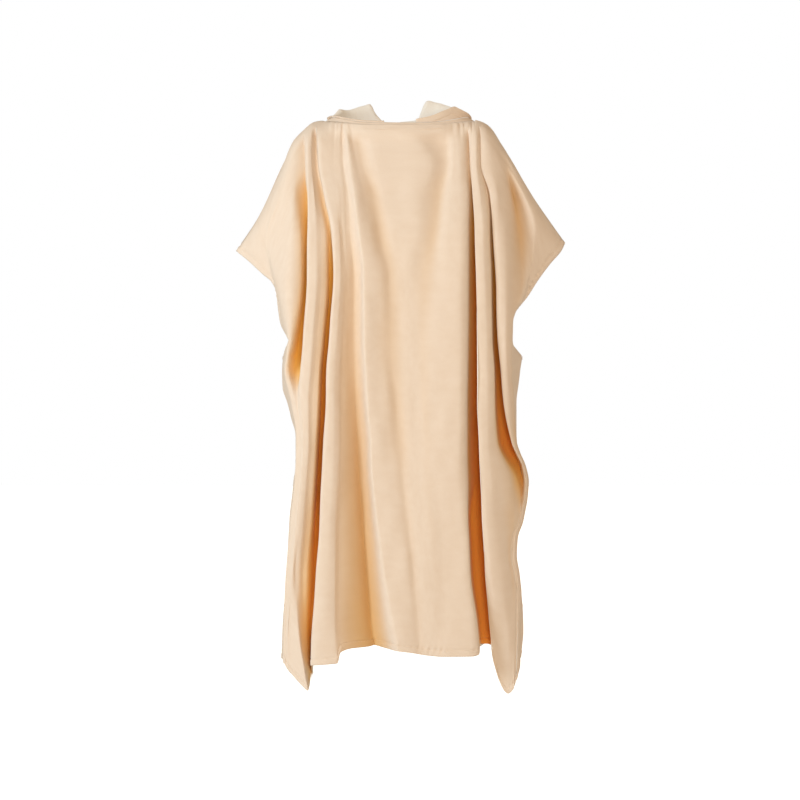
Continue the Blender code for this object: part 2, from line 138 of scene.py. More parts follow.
# A wall of cloth: the outer grid, the same grid moved in by the thickness, and their rims. The outer face
# takes the first finish and the inner one the second. Its map is in metres of cloth, and every outer point
# carries the painted fold shade that the finish mixes into its colour.
def clothShell(name, outer, normal, thickness, finishes, paintedFoldShade=None, ring=False):
    rows, columns = outer.shape[:2]
    inner = outer - normal * thickness
    index = np.arange(rows * columns).reshape(rows, columns)
    if ring:
        index = np.concatenate([index, index[:, :1]], axis=1)
    under = index + rows * columns
    top = np.stack([index[1:, :-1], index[1:, 1:], index[:-1, 1:], index[:-1, :-1]], -1).reshape(-1, 4)
    low = np.stack([under[:-1, :-1], under[:-1, 1:], under[1:, 1:], under[1:, :-1]], -1).reshape(-1, 4)
    rims = [(index[0], under[0]), (under[-1], index[-1])]
    if not ring:
        rims += [(under[:, 0], index[:, 0]), (index[:, -1], under[:, -1])]
    rim = np.concatenate([np.stack([a[:-1], a[1:], b[1:], b[:-1]], -1) for a, b in rims])
    faces = np.concatenate([top, low, rim])
    points = np.concatenate([outer.reshape(-1, 3), inner.reshape(-1, 3)])
    mesh = meshFrom(name, points, faces)
    for finish in finishes:
        mesh.materials.append(finish)
    slots = np.zeros(len(faces), np.int32)
    slots[len(top):len(top) + len(low)] = 1 if len(finishes) > 1 else 0
    mesh.polygons.foreach_set("material_index", slots)
    u = runAlong(outer, 1).mean(axis=0)
    v = runAlong(outer, 0).mean(axis=1)
    flat = np.stack(np.broadcast_arrays(u[None, :], v[:, None]), -1).reshape(-1, 2)
    loops = np.empty(len(mesh.loops), np.int32)
    mesh.loops.foreach_get("vertex_index", loops)
    layer = mesh.uv_layers.new(name="cloth")
    layer.data.foreach_set("uv", np.concatenate([flat, flat])[loops].astype(np.float32).ravel())
    deep = np.zeros(rows * columns) if paintedFoldShade is None else paintedFoldShade.reshape(-1)
    # painted fold shade on the outer points only; the inner face has none
    attribute = mesh.attributes.new("paintedFoldShade", "FLOAT", "POINT")
    attribute.data.foreach_set("value", np.concatenate([deep, deep * 0]).astype(np.float32))
    return addPiece(name, mesh)


# points and four-cornered faces put in as whole arrays
def meshFrom(name, points, faces):
    mesh = bpy.data.meshes.new(name)
    mesh.vertices.add(len(points))
    mesh.vertices.foreach_set("co", points.astype(np.float32).ravel())
    sides = faces.shape[1]
    mesh.loops.add(faces.size)
    mesh.loops.foreach_set("vertex_index", faces.astype(np.int32).ravel())
    mesh.polygons.add(len(faces))
    mesh.polygons.foreach_set("loop_start", np.arange(0, faces.size, sides, dtype=np.int32))
    mesh.polygons.foreach_set("loop_total", np.full(len(faces), sides, np.int32))
    mesh.update(calc_edges=True)
    mesh.validate()
    mesh.shade_smooth()
    return mesh


def addPiece(name, mesh):
    piece = bpy.data.objects.new(name, mesh)
    bpy.context.collection.objects.link(piece)
    return piece


# stitches along a path: each is a small spindle of eight faces that lies on the cloth along the path
def stitchRow(points, normals, pitch, length, width, height):
    along = runAlong(points, 0)
    at = np.arange(pitch / 2, along[-1], pitch)

    def atPlaces(values, places):
        return np.stack([np.interp(places, along, values[:, a]) for a in range(3)], -1)

    centre = atPlaces(points, at)
    up = atPlaces(normals, at)
    way = unit(atPlaces(points, at + pitch / 4) - centre)
    side = unit(np.cross(up, way))
    way, side, up = way * length / 2, side * width / 2, up * height
    corners = [way, side, -way, -side, up, -up]
    spots = np.stack([centre + corner for corner in corners], axis=1)
    base = np.arange(len(at))[:, None, None] * len(corners)
    ring = np.array([[0, 1, 4], [1, 2, 4], [2, 3, 4], [3, 0, 4], [1, 0, 5], [2, 1, 5], [3, 2, 5], [0, 3, 5]])
    return spots.reshape(-1, 3), (base + ring[None]).reshape(-1, 3)


def stitchPiece(name, rows, finish):
    points, faces, total = [], [], 0
    for spots, sides in rows:
        points.append(spots)
        faces.append(sides + total)
        total += len(spots)
    mesh = meshFrom(name, np.concatenate(points), np.concatenate(faces))
    mesh.materials.append(finish)
    return addPiece(name, mesh)


finishValues = {
    "velour": (0.785, 0.655, 0.56),
    # painted shade down in a fold, where light comes only off the cloth itself: colour, shade value it
    # starts at and is full at; below zero, the painted shade of an open hollow
    "velourPaintedShade": (((0.85, 0.49, 0.11), 0.003, 0.050), ((0.94, 0.41, 0.08), 0.040, 0.080),
                   ((0.655, 0.36, 0.09), -0.003, -0.050)),
    "terry": (0.90, 0.85, 0.81),
    "thread": (0.88, 0.72, 0.54), "threadDark": 0.88, "threadRough": 0.6, "threadScale": 300,
    "napShare": 0.45, "napDetail": 3, "mottleDetail": 4, "mottleScale": 55, "maskRange": (0.3, 0.7),
    "rough": 0.95, "specular": 0.15, "sheenRough": 0.5, "sheenTint": (1.0, 0.93, 0.84),
    "bumpDistance": 0.0006,
    # how strongly red, green and blue follow the pile, darker and lighter
    "darker": (0.6, 1.0, 1.4), "lighter": (0.5, 0.7, 0.9),
}


# a new shader node with its settings and the values of its inputs
def addNode(tree, kind, inputs=(), **settings):
    node = tree.nodes.new("ShaderNode" + kind)
    for key, value in settings.items():
        setattr(node, key, value)
    setInputs(node, inputs)
    return node


def setInputs(node, inputs):
    for key, value in dict(inputs).items():
        node.inputs[key].default_value = value


def newFinish(name, inputs):
    material = bpy.data.materials.new(name)
    material.use_nodes = True
    shader = material.node_tree.nodes["Principled BSDF"]
    setInputs(shader, inputs)
    return material, material.node_tree, material.node_tree.links.new, shader


# pile: fine speckle and slow mottling of the nap, as a mask for the colour and a height for the bump
def pileGroup():
    v = finishValues
    group = bpy.data.node_groups.new("pile", "ShaderNodeTree")
    for names, way in ((("Vector", "Nap scale", "Mottle scale"), "INPUT"), (("Mask", "Height"), "OUTPUT")):
        for name in names:
            kind = "NodeSocketVector" if name == "Vector" else "NodeSocketFloat"
            group.interface.new_socket(name=name, in_out=way, socket_type=kind)
    link = group.links.new
    given = group.nodes.new("NodeGroupInput")
    out = group.nodes.new("NodeGroupOutput")
    nap = addNode(group, "TexNoise", {"Detail": v["napDetail"]})
    mottle = addNode(group, "TexNoise", {"Detail": v["mottleDetail"]})
    for noise, scale in ((nap, "Nap scale"), (mottle, "Mottle scale")):
        link(given.outputs["Vector"], noise.inputs["Vector"])
        link(given.outputs[scale], noise.inputs["Scale"])
    mix = addNode(group, "Mix", {0: v["napShare"]}, data_type="FLOAT")
    link(mottle.outputs["Fac"], mix.inputs[2])
    link(nap.outputs["Fac"], mix.inputs[3])
    link(mix.outputs[0], out.inputs["Mask"])
    link(nap.outputs["Fac"], out.inputs["Height"])
    return group


# a towelling finish: its colour, a little lighter and darker with the pile, painted fold shade mixed in by
# the attribute, and a bump from the nap
def towelling(name, colour, pile, napScale, bump, contrast, sheen, paintedShadeColours=()):
    v = finishValues
    material, tree, link, shader = newFinish(name, {
        "Roughness": v["rough"], "Specular IOR Level": v["specular"], "Sheen Weight": sheen,
        "Sheen Roughness": v["sheenRough"], "Sheen Tint": (*v["sheenTint"], 1)})
    uv = addNode(tree, "UVMap", uv_map="cloth")
    group = addNode(tree, "Group", node_tree=pile)
    setInputs(group, {"Nap scale": napScale, "Mottle scale": v["mottleScale"]})
    link(uv.outputs["UV"], group.inputs["Vector"])
    ramp = addNode(tree, "MapRange", {"From Min": v["maskRange"][0], "From Max": v["maskRange"][1]})
    link(group.outputs["Mask"], ramp.inputs["Value"])
    dark = [c * (1 - contrast * k) for c, k in zip(colour, v["darker"])]
    light = [min(1, c * (1 + contrast * k)) for c, k in zip(colour, v["lighter"])]
    tone = addNode(tree, "Mix", data_type="RGBA")
    setInputs(tone, {"A": (*dark, 1), "B": (*light, 1)})
    link(ramp.outputs["Result"], tone.inputs["Factor"])
    result = tone.outputs["Result"]
    # painted shade: each colour is mixed in where the painted fold shade attribute lies between its two
    # values, darker and warmer in the folds
    for paintedShadeColour, paintedShadeFrom, paintedShadeTo in paintedShadeColours:
        depth = addNode(tree, "Attribute", attribute_name="paintedFoldShade")
        down = addNode(tree, "MapRange", interpolation_type="SMOOTHSTEP")
        setInputs(down, {"From Min": paintedShadeFrom, "From Max": paintedShadeTo})
        link(depth.outputs["Fac"], down.inputs["Value"])
        deep = addNode(tree, "Mix", data_type="RGBA")
        setInputs(deep, {"B": (*paintedShadeColour, 1)})
        link(down.outputs["Result"], deep.inputs["Factor"])
        link(result, deep.inputs["A"])
        result = deep.outputs["Result"]
    link(result, shader.inputs["Base Color"])
    rough = addNode(tree, "Bump", {"Strength": bump, "Distance": v["bumpDistance"]})
    link(group.outputs["Height"], rough.inputs["Height"])
    link(rough.outputs["Normal"], shader.inputs["Normal"])
    return material


def threadFinish():
    v = finishValues
    material, tree, link, shader = newFinish("thread", {"Roughness": v["threadRough"]})
    where = addNode(tree, "TexCoord")
    speckle = addNode(tree, "TexNoise", {"Scale": v["threadScale"]})
    tone = addNode(tree, "Mix", data_type="RGBA")
    setInputs(tone, {"A": (*[c * v["threadDark"] for c in v["thread"]], 1), "B": (*v["thread"], 1)})
    link(where.outputs["Object"], speckle.inputs["Vector"])
    link(speckle.outputs["Fac"], tone.inputs["Factor"])
    link(tone.outputs["Result"], shader.inputs["Base Color"])
    return material


pile = pileGroup()
velour = towelling(
    "velour", finishValues["velour"], pile, napScale=900, bump=0.35, contrast=0.055, sheen=0.25,
    paintedShadeColours=finishValues["velourPaintedShade"])
terry = towelling(
    "terryLoops", finishValues["terry"], pile, napScale=520, bump=0.8, contrast=0.06, sheen=0.35)
thread = threadFinish()
print("finishes ready")


# neckline, shoulder and side edges, and the half depths of the round that the cloth hangs on
form = {
    "neckHalfWidth": 150, "neckFrontDepth": 78, "neckBackDepth": 80,
    "neckFrontDrop": 29, "neckBackDrop": 16, "neckEndDrop": 3, "dropPower": 4, "neckRound": 2.6,
    "bandRise": 16, "bandLean": 12, "bandEndsLower": 0.62, "endPower": 8,
    "headerShare": 0.72, "headerOut": 2.6,    # the gathered edge covers this share of the band's height
    "armRound": 60, "armDepth": 55, "armEnd": 560, "armFade": 140,
    "chestReach": 240, "reachRound": 1.7, "chestRound": 2.6, "bodyHalfWidth": 268, "sideShare": 0.995,
    "depthDrops": (100, 220, 340, 560, 800, 1120),
    "frontDepths": (112, 134, 144, 148, 152, 158),
    "backDepths": (118, 138, 140, 138, 142, 150),
    # distance from the centre, drop
    "shoulderRight": ((-148, 0), (-172, 4), (-187, 15), (-208, 37), (-220, 55), (-232, 88),
                      (-247, 130), (-266, 166), (-328, 262)),
    "shoulderLeft": ((148, 0), (164, 4), (178, 12), (200, 44), (212, 62), (236, 98),
                     (260, 144), (296, 200), (330, 246)),
    # drop, distance from the centre, half width of the opening
    "sideRight": ((262, -328, 0), (280, -305, 14), (306, -277, 30), (325, -255, 40), (345, -245, 46),
                  (380, -241, 44), (408, -237, 34), (426, -229, 22), (444, -219, 12), (460, -230, 4),
                  (474, -234, 0), (502, -236, 0), (533, -235, 0), (564, -225, 0), (595, -218, 0),
                  (630, -209, 0), (690, -208, 0), (720, -213, 0), (766, -217, 0), (800, -221, 0),
                  (860, -224, 0), (905, -227, 0), (966, -231, 0), (1010, -234, 5), (1076, -236, 8)),
    "sideLeft": ((246, 330, 0), (262, 322, 12), (290, 298, 26), (325, 272, 38), (356, 252, 46),
                 (385, 229, 46), (408, 222, 40), (444, 221, 20), (458, 232, 10), (474, 244, 0),
                 (502, 240, 0), (533, 236, 0), (564, 233, 0), (640, 233, 0), (664, 240, 0), (690, 251, 0),
                 (722, 257, 0), (752, 255, 0), (780, 249, 0), (800, 244, 0), (830, 233, 0), (866, 231, 0),
                 (905, 238, 0), (960, 244, 0), (1020, 246, 5), (1070, 241, 8)),
}


def shoulderDrop(x):
    right = np.array(form["shoulderRight"], float)
    left = np.array(form["shoulderLeft"], float)
    onRight = smoothCurve(-right[:, 0], right[:, 1], -x)
    onLeft = smoothCurve(left[:, 0], left[:, 1], x)
    return np.where(x < 0, onRight, onLeft)


# drop of the gathered neckline: level in the middle and rising to its ends by the fourth power
def neckDrop(share, front):
    middle = form["neckFrontDrop"] if front else form["neckBackDrop"]
    end = form["neckEndDrop"]
    return end + (middle - end) * (1 - np.clip(share, 0, 1) ** form["dropPower"])


# distance of the neckline before or behind the shoulder line: a flattened oval
def neckDepth(share, front):
    reach = form["neckFrontDepth"] if front else form["neckBackDepth"]
    return reach * np.sqrt(1 - np.clip(share, 0, 1) ** form["neckRound"])


# depth of the round: an oval body and the arm joined by cubes, reached from the neckline or the shoulder
# edge
def roundDepth(x, drop, top, edgeDepth, front):
    depths = form["frontDepths"] if front else form["backDepths"]
    share = np.clip(np.abs(x) / form["bodyHalfWidth"], 0, form["sideShare"])
    body = smoothCurve(form["depthDrops"], depths, drop) * np.sqrt(1 - share ** form["chestRound"])
    arm = form["armDepth"] * np.clip((form["armEnd"] - drop) / form["armFade"], 0, 1)
    full = (body ** 3 + arm ** 3) ** (1 / 3)
    fall = drop - top
    turn = np.sqrt(np.clip(1 - (1 - np.clip(fall / form["armRound"], 0, 1)) ** 2, 0, 1))
    near = edgeDepth + np.clip(form["armDepth"] - edgeDepth, 0, None) * turn
    reach = 1 - (1 - np.clip(fall / form["chestReach"], 0, 1)) ** form["reachRound"]
    return near + np.clip(full - near, 0, None) * reach


# Points of the neckline at a distance from the centre: height 0 is the gathered edge and 1 the band's
# upper edge. The band's height falls to the neckline's ends by the eighth power.
def neckEdge(x, front, height=0.0):
    share = np.abs(x) / form["neckHalfWidth"]
    side = -1 if front else 1
    depth = neckDepth(share, front) * (1 - height * form["bandLean"] / form["neckFrontDepth"])
    across = x * (1 - height * form["bandLean"] / form["neckHalfWidth"])
    rise = form["bandRise"] * (1 - form["bandEndsLower"] * np.clip(share, 0, 1) ** form["endPower"])
    up = height * rise - neckDrop(share, front)
    return np.stack([across, side * np.maximum(depth, sewnGap), up], -1)


# level vectors square to the neckline's oval, away from the neck
def neckNormal(x, front):
    share = np.clip(np.abs(x) / form["neckHalfWidth"], 0, 1)
    reach = form["neckFrontDepth"] if front else form["neckBackDepth"]
    power = form["neckRound"]
    across = power * share ** (power - 1) / form["neckHalfWidth"] * np.sign(x)
    along = (-1 if front else 1) * 2 * np.sqrt(np.clip(1 - share ** power, 0, 1)) / reach
    return unit(np.stack([across, along, np.zeros_like(x)], -1))


# the panels' gathered edge, outside the band: its height falls to the ends by the same power
def headerEdge(x, front):
    high = 1 - np.clip(np.abs(x) / form["neckHalfWidth"], 0, 1) ** form["endPower"]
    spot = neckEdge(x, front, form["headerShare"] * high)
    return spot + neckNormal(x, front) * (form["headerOut"] * high)[..., None]


frontDrops = (95, 160, 240, 320, 440, 500, 560, 640, 715, 800, 900, 1005)

# Lines of the front from the wearer's right to the left: distance from the centre at the top edge, at the
# twelve drops and at the hem, and the drop of the hem. An edge and a lip with one letter are the sides of
# a deep slot.
frontAcross = {
    #               top    95   160   240   320   440   500   560   640   715   800   900  1005   hem  drop
    "sleeveMid":  (-284, -284, -284, -268, -250, -221, -230, -220, -207, -210, -218, -227, -231, -232, 1071),
    "sleeve":     (-232, -230, -228, -226, -222, -217, -226, -214, -204, -206, -214, -224, -229, -230, 1074),
    "roundA":     (-212, -210, -210, -210, -209, -213, -223, -210, -200, -203, -211, -221, -227, -228, 1076),
    "edgeA":      (-200, -197, -200, -195, -194, -208, -219, -206, -197, -200, -208, -218, -225, -226, 1078),
    "lipA":       (-188, -185, -182, -181, -181, -190, -196, -200, -193, -197, -205, -215, -223, -222, 1086),
    "crestAB":    (-183, -181, -179, -177, -177, -185, -189, -194, -189, -194, -202, -211, -218, -214, 1094),
    "cornerLip":  (-178, -176, -173, -170, -170, -178, -182, -186, -184, -189, -196, -205, -199, -180, 1126),
    "cornerBack": (-175, -173, -168, -164, -164, -172, -176, -180, -179, -184, -190, -198, -196, -178, 1121),
    "shoulderB":  (-173, -171, -164, -155, -155, -163, -167, -172, -173, -178, -184, -191, -190, -177, 1112),
    "edgeB":      (-171, -168, -159, -145, -144, -152, -157, -160, -164, -169, -175, -183, -185, -176, 1102),
    "lipB":       (-167, -163, -150, -132, -130, -138, -142, -143, -147, -152, -156, -163, -170, -173, 1076),
    "crestC":     (-157, -153, -141, -126, -125, -133, -136, -138, -141, -147, -151, -159, -165, -163, 1075),
    "roundC":     (-144, -141, -130, -118, -116, -124, -129, -130, -131, -134, -139, -142, -144, -141, 1073),
    "planeStart": (-130, -130, -121, -115, -110, -116, -119, -121, -120, -122, -126, -126, -126, -121, 1071),
    "planeStep":  (-124, -124, -116, -112, -106, -111, -114, -116, -115, -117, -121, -121, -120, -115, 1051),
    "slopeD":     (-119, -118, -110, -108, -103, -104, -106, -107, -106, -106, -105, -104, -100,  -96, 1044),
    "steepD":     (-117, -115, -106, -103,  -98,  -98,  -97,  -95,  -91,  -88,  -82,  -76,  -68,  -62, 1042),
    "hollow1":    (-115, -112, -102,  -96,  -89,  -90,  -88,  -86,  -83,  -79,  -73,  -66,  -56,  -50, 1040),
    "riseD":      (-112, -106,  -96,  -87,  -79,  -79,  -77,  -75,  -70,  -66,  -59,  -50,  -38,  -30, 1043),
    "crest1":     (-108,  -98,  -88,  -78,  -69,  -68,  -65,  -62,  -56,  -52,  -42,  -28,   -8,    0, 1046),
    "slopeN":     (-102,  -84,  -69,  -58,  -36,  -36,  -32,  -24,  -18,   -6,    4,   14,   24,   28, 1050),
    "hollow2":    ( -90,  -73,  -51,  -36,  -18,  -16,  -14,   -6,    2,    8,   18,   28,   38,   42, 1053),
    "crest2":     ( -62,  -42,  -28,  -12,    4,   12,   14,   18,   22,   24,   32,   42,   52,   56, 1055),
    "centre":     (   0,   56,   38,   30,   20,   26,   28,   32,   36,   38,   44,   54,   62,   66, 1056),
    "cowlLeft":   (  86,   90,   76,   66,   50,   44,   46,   48,   52,   54,   60,   68,   76,   80, 1057),
    "crestE":     ( 106,  105,  100,   95,   94,   84,   84,   80,   76,   78,   82,   86,   94,   98, 1057),
    "shoulderE":  ( 116,  116,  116,  116,  115,  115,  114,  113,  112,  112,  117,  124,  136,  140, 1057),
    "edgeE":      ( 126,  127,  132,  131,  131,  129,  127,  126,  126,  128,  132,  136,  147,  151, 1054),
    "lipE":       ( 138,  140,  143,  146,  148,  150,  150,  150,  153,  156,  160,  167,  176,  180, 1058),
    "crestF":     ( 144,  145,  149,  153,  155,  158,  158,  158,  160,  164,  168,  178,  196,  212, 1136),
    "roundF":     ( 147,  148,  155,  160,  163,  167,  168,  169,  171,  176,  184,  196,  208,  217, 1133),
    "shelfF":     ( 150,  150,  160,  166,  169,  173,  175,  176,  179,  189,  198,  212,  219,  221, 1128),
    "edgeG":      ( 153,  153,  168,  172,  176,  178,  182,  183,  188,  214,  220,  222,  226,  224, 1122),
    "lipG":       ( 159,  160,  178,  183,  188,  192,  198,  203,  218,  248,  240,  230,  230,  227, 1112),
    "crestH":     ( 168,  172,  188,  190,  193,  197,  202,  207,  221,  251,  243,  234,  232,  230, 1105),
    "roundH":     ( 188,  192,  201,  204,  206,  204,  208,  213,  225,  252,  244,  236,  234,  232, 1096),
    "bumpI":      ( 198,  203,  215,  218,  220,  211,  214,  218,  228,  253,  245,  238,  236,  234, 1090),
    "sleeveFold": ( 208,  212,  225,  238,  242,  216,  219,  223,  230,  254,  246,  240,  238,  236, 1083),
    "sleeveFar":  ( 262,  262,  258,  264,  256,  219,  222,  226,  232,  255,  247,  242,  240,  238, 1076),
}
# Depth of those lines inside the garment's round at the same drops and at the hem; a slot has a row of
# its own. Lines that aren't here lie on the round.
frontInside = {
    #              95  160  240  320  440  500  560  640  715  800  900  1005  hem
    "sleeveMid":  ( 0,   0,   2,   4,  14,  24,  32,  42,  46,  47,  48,   48,  48),
    "sleeve":     ( 0,   0,   0,   0,   8,   8,   2,   2,   2,   2,   2,    2,   4),
    "roundA":     ( 3,   6,   5,   5,  10,   9,   2,   1,   1,   1,   1,    2,   3),
    "edgeA":      ( 8,  17,  16,  17,  18,  13,   2,   1,   1,   1,   1,    3,   4),
    "slotA":      (13,  34,  42,  48,  54,  40,   4,   1,   1,   1,   1,    3,   4),
    "lipA":       ( 3,   3,   3,   3,   3,   3,   2,   1,   1,   1,   1,    4,   5),
    "crestAB":    ( 0,   0,   0,   0,   0,   0,   0,   0,   0,   0,   1,    6,   8),
    "cornerLip":  ( 2,   2,   2,   2,   2,   2,   2,   2,   2,   3,   8,   12,   9),
    "cornerBack": ( 4,   3,   4,   4,   4,   4,   4,   4,   5,   8,  14,   22,  22),
    "shoulderB":  ( 7,   8,  10,  12,  13,  13,  12,  11,  12,  18,  24,   34,  36),
    "edgeB":      (10,  14,  17,  21,  22,  21,  20,  19,  20,  26,  30,   42,  50),
    "slotB":      (13,  21,  30,  46,  60,  66,  70,  76,  80,  78,  72,   66,  60),
    "lipB":       ( 3,   3,   3,   3,   3,   3,   3,   3,   3,   3,   3,    3,   3),
    "roundC":     ( 2,   2,   3,   3,   3,   3,   3,   3,   3,   3,   3,    3,   3),
    "planeStart": ( 5,   4,   7,  10,  11,  11,  11,  11,  11,  11,  11,   11,  11),
    "planeStep":  ( 6,   6,   9,  13,  16,  17,  17,  17,  17,  17,  17,   17,  17),
    "slopeD":     ( 7,   8,  10,  15,  20,  22,  23,  24,  25,  26,  27,   31,  32),
    "steepD":     ( 8,  10,  13,  18,  25,  29,  33,  37,  40,  44,  48,   54,  54),
    "hollow1":    ( 9,  11,  16,  24,  30,  34,  39,  46,  52,  57,  62,   66,  66),
    "riseD":      ( 5,   8,  11,  17,  21,  23,  27,  33,  37,  41,  45,   48,  48),
    "slopeN":     ( 9,  12,   9,  10,  12,  11,  10,  10,   7,   6,   5,    5,   3),
    "hollow2":    (14,  19,  20,  18,  19,  18,  18,  17,  12,  11,  10,    9,   9),
    "crest2":     ( 6,  13,  15,  17,  15,  14,  14,  13,  11,  10,   9,    8,   8),
    "centre":     ( 7,  12,  15,  16,  14,  13,  13,  12,  10,   9,   8,    7,   7),
    "cowlLeft":   (13,  21,  21,  18,  13,  12,  12,  10,   8,   7,   6,    6,   6),
    "crestE":     ( 2,   6,   8,   9,   8,   8,   8,   7,   6,   6,   5,    4,   4),
    "shoulderE":  ( 1,   2,   3,   3,   3,   3,   3,   3,   2,   1,   1,    1,   1),
    "edgeE":      ( 5,   7,   7,   8,   7,   7,   7,   8,   6,   4,   3,    3,   3),
    "slotE":      (16,  30,  50,  63,  71,  75,  79,  86,  86,  86,  84,   80,  74),
    "lipE":       ( 7,   7,   8,   8,   8,   8,   8,   9,   9,  10,  16,   28,  32),
    "crestF":     ( 3,   4,   5,   5,   5,   5,   5,   5,   5,   5,   7,   14,  18),
    "roundF":     ( 2,   2,   3,   3,   3,   3,   3,   3,   3,   3,   4,    8,  12),
    "shelfF":     ( 3,   4,   4,   4,   4,   4,   4,   4,   4,   5,   6,    5,   8),
    "edgeG":      ( 5,   8,   8,   8,   8,   8,   8,   9,   9,  10,   9,    3,   5),
    "slotG":      (11,  20,  37,  50,  62,  68,  70,  74,  42,  13,   9,    3,   4),
    "lipG":       ( 8,  10,  12,  12,  12,  12,  11,  14,  14,  10,   6,    2,   3),
    "crestH":     ( 4,   5,   6,   7,   7,   7,   7,  12,  13,   9,   5,    1,   2),
    "roundH":     ( 4,   5,   3,   3,   2,   4,   5,  13,  13,  10,   5,    1,   2),
    "bumpI":      ( 6,  10,  10,  10,   3,   6,   8,  15,  15,  11,   6,    3,   4),
    "sleeveFold": (10,  30,  26,  16,   8,   9,  12,  18,  18,  14,  12,   10,  10),
    "sleeveFar":  ( 0,   0,   2,   9,  14,  20,  30,  40,  46,  46,  47,   48,  48),
}
# how far across a slot its floor begins, at the same drops and the hem
frontFloors = {
    "A": (.90, .85, .80, .70, .55, .60, .80, .80, .80, .80, .80, .80, .80),
    "B": (.70, .60, .50, .40, .38, .36, .34, .34, .34, .40, .70, .60, .40),
    "E": (.90, .90, .88, .86, .84, .82, .80, .78, .70, .30, .26, .24, .24),
    "G": (.85, .80, .74, .62, .50, .46, .42, .38, .60, .60, .60, .60, .60),
}

# height in mm by which a slot's floor rises at the hem; below zero it hangs lower
slotLift = {"E": 14, "B": -28}

# How strongly a line's depth paints shade into the cloth's colour: above zero with the painted shade of a
# closed slot, below zero with that of an open hollow. A line that isn't here takes the panel's weight for
# open hollows.
foldShadeWeights = {
    "sleeveMid": 0, "roundA": 1.5, "edgeA": 1.6, "cornerBack": 1.0, "shoulderB": 1.1, "edgeB": 1.1,
    "planeStart": -1.0, "planeStep": -1.2, "slopeD": -1.15, "steepD": -0.95, "hollow1": -0.83,
    "riseD": -0.85, "slopeN": -1.2, "hollow2": -1.1, "crest2": -0.5, "centre": -0.4, "cowlLeft": -1.0,
    "shelfF": 1.0, "edgeG": 1.8, "roundH": -1.3, "bumpI": -1.6, "sleeveFold": -1.4, "sleeveFar": 0,
}
lineDrops = (160, 320, 560, 800, 960)
depthAt = (60, 320, 700, 1100)

# Lines of the back: distance from the centre at the top edge, at the drops of lineDrops and at the hem;
# drop of the hem; depth inside the garment's round at the drops of depthAt.
backLines = {
    #              top   160   320   560   800   960   hem  drop  d60  d320  d700  hem
    "sleeveMid": (-284, -284, -249, -231, -218, -230, -229, 1096,   0,    4,   46,  48),
    "sleeve":    (-228, -228, -232, -220, -210, -218, -218, 1120,   0,    0,    0,   0),
    "bottomP":   (-198, -198, -202, -194, -188, -190, -190, 1112,  10,   30,   36,  30),
    "lipP":      (-189, -187, -190, -182, -177, -180, -181, 1104,   2,    5,    5,   4),
    "ridgeP":    (-176, -172, -170, -166, -162, -162, -164, 1092,   0,    2,    0,   0),
    "slopeQ":    (-160, -155, -152, -150, -148, -148, -150, 1078,   4,   10,   16,  18),
    "bottomQ":   (-147, -140, -135, -131, -129, -129, -132, 1066,  11,   32,   54,  58),
    "lipQ":      (-140, -132, -126, -122, -121, -121, -124, 1060,   2,    6,    6,   6),
    "ridgeQ":    (-122, -114, -106, -104, -106, -106, -110, 1054,   0,    0,    0,   0),
    "hollowR":   ( -92,  -84,  -72,  -66,  -62,  -62,  -66, 1046,   7,   12,   34,  46),
    "ridgeR":    ( -58,  -50,  -36,  -28,  -22,  -22,  -26, 1046,   0,    0,    0,   0),
    "hollowS":   (  -6,   -2,    4,   10,   16,   18,   16, 1048,   3,    8,   16,  22),
    "ridgeS":    (  48,   46,   46,   50,   54,   58,   56, 1048,   0,    0,    0,   0),
    "slopeT":    (  68,   66,   66,   70,   76,   78,   78, 1048,   4,    8,   18,  24),
    "bottomT":   (  88,   85,   86,   92,   99,  101,  103, 1050,   9,   30,   62,  74),
    "lipT":      (  97,   94,   95,  101,  107,  110,  112, 1054,   2,    6,    6,   6),
    "ridgeT":    ( 116,  114,  118,  122,  128,  130,  134, 1060,   0,    2,    0,   0),
    "slopeU":    ( 132,  130,  134,  139,  144,  147,  150, 1070,   4,   12,   14,  14),
    "bottomU":   ( 147,  148,  153,  159,  163,  167,  171, 1056,  11,   42,   46,  48),
    "lipU":      ( 156,  157,  163,  168,  172,  176,  180, 1060,   2,    6,    6,   6),
    "ridgeU":    ( 174,  178,  184,  186,  190,  196,  200, 1072,   0,    0,    0,   0),
    "bottomV":   ( 204,  212,  216,  210,  218,  222,  222, 1116,   8,   26,   14,  12),
    "sleeveFar": ( 262,  264,  254,  229,  242,  240,  238, 1092,   0,    4,   46,  48),
}

panelValues = {
    "topRows": 20, "topReach": 60,        # rows within this fall of the top edge, in mm
    "upperRows": 56, "levelDrop": 385,    # rows below this drop are nearly level
    "lowerRows": 92,
    "hemRows": 11, "hemReach": 22,        # rows within this distance of the hem
    "columns": 262,
    "foldsStart": (10, 40),               # folds reach their depth this far below the top edge
    "lineStart": 40, "hemAt": 1130,       # a line's own places start this far down; drop of the hem's depths
    "leastDepth": 4, "sideGap": 1.6,
    "sideLines": 12,                      # so many lines beside a side edge are kept inside it
    "openHollowShade": 0.5, "paintedShadeLimit": 60,     # share of its depth that paints shade into an open hollow's colour, up to a limit
    # the wall is thinner where it turns sharply, by this share and within so many columns
    "slim": 0.75, "slimFrom": 0.22, "slimTo": 0.8, "slimColumns": 3,
    "armholeEnds": (440, 470), "ventStarts": (950, 975),    # between these drops a side edge is sewn
    "hemWidth": 12, "hemRaise": 0.7, "hemGroove": 1.5, "grooveWidth": 1.6,
    "pucker": 0.8, "puckerWidth": 7, "puckerPitch": 11, "puckerSway": 1.7, "swayPitch": 37,
    "waves": ((130, 1.6), (46, 0.5)),     # size and height
    "calmTop": 40, "calmSide": 30,        # the waves grow over these distances from an edge
    "gathersStart": 5,
}


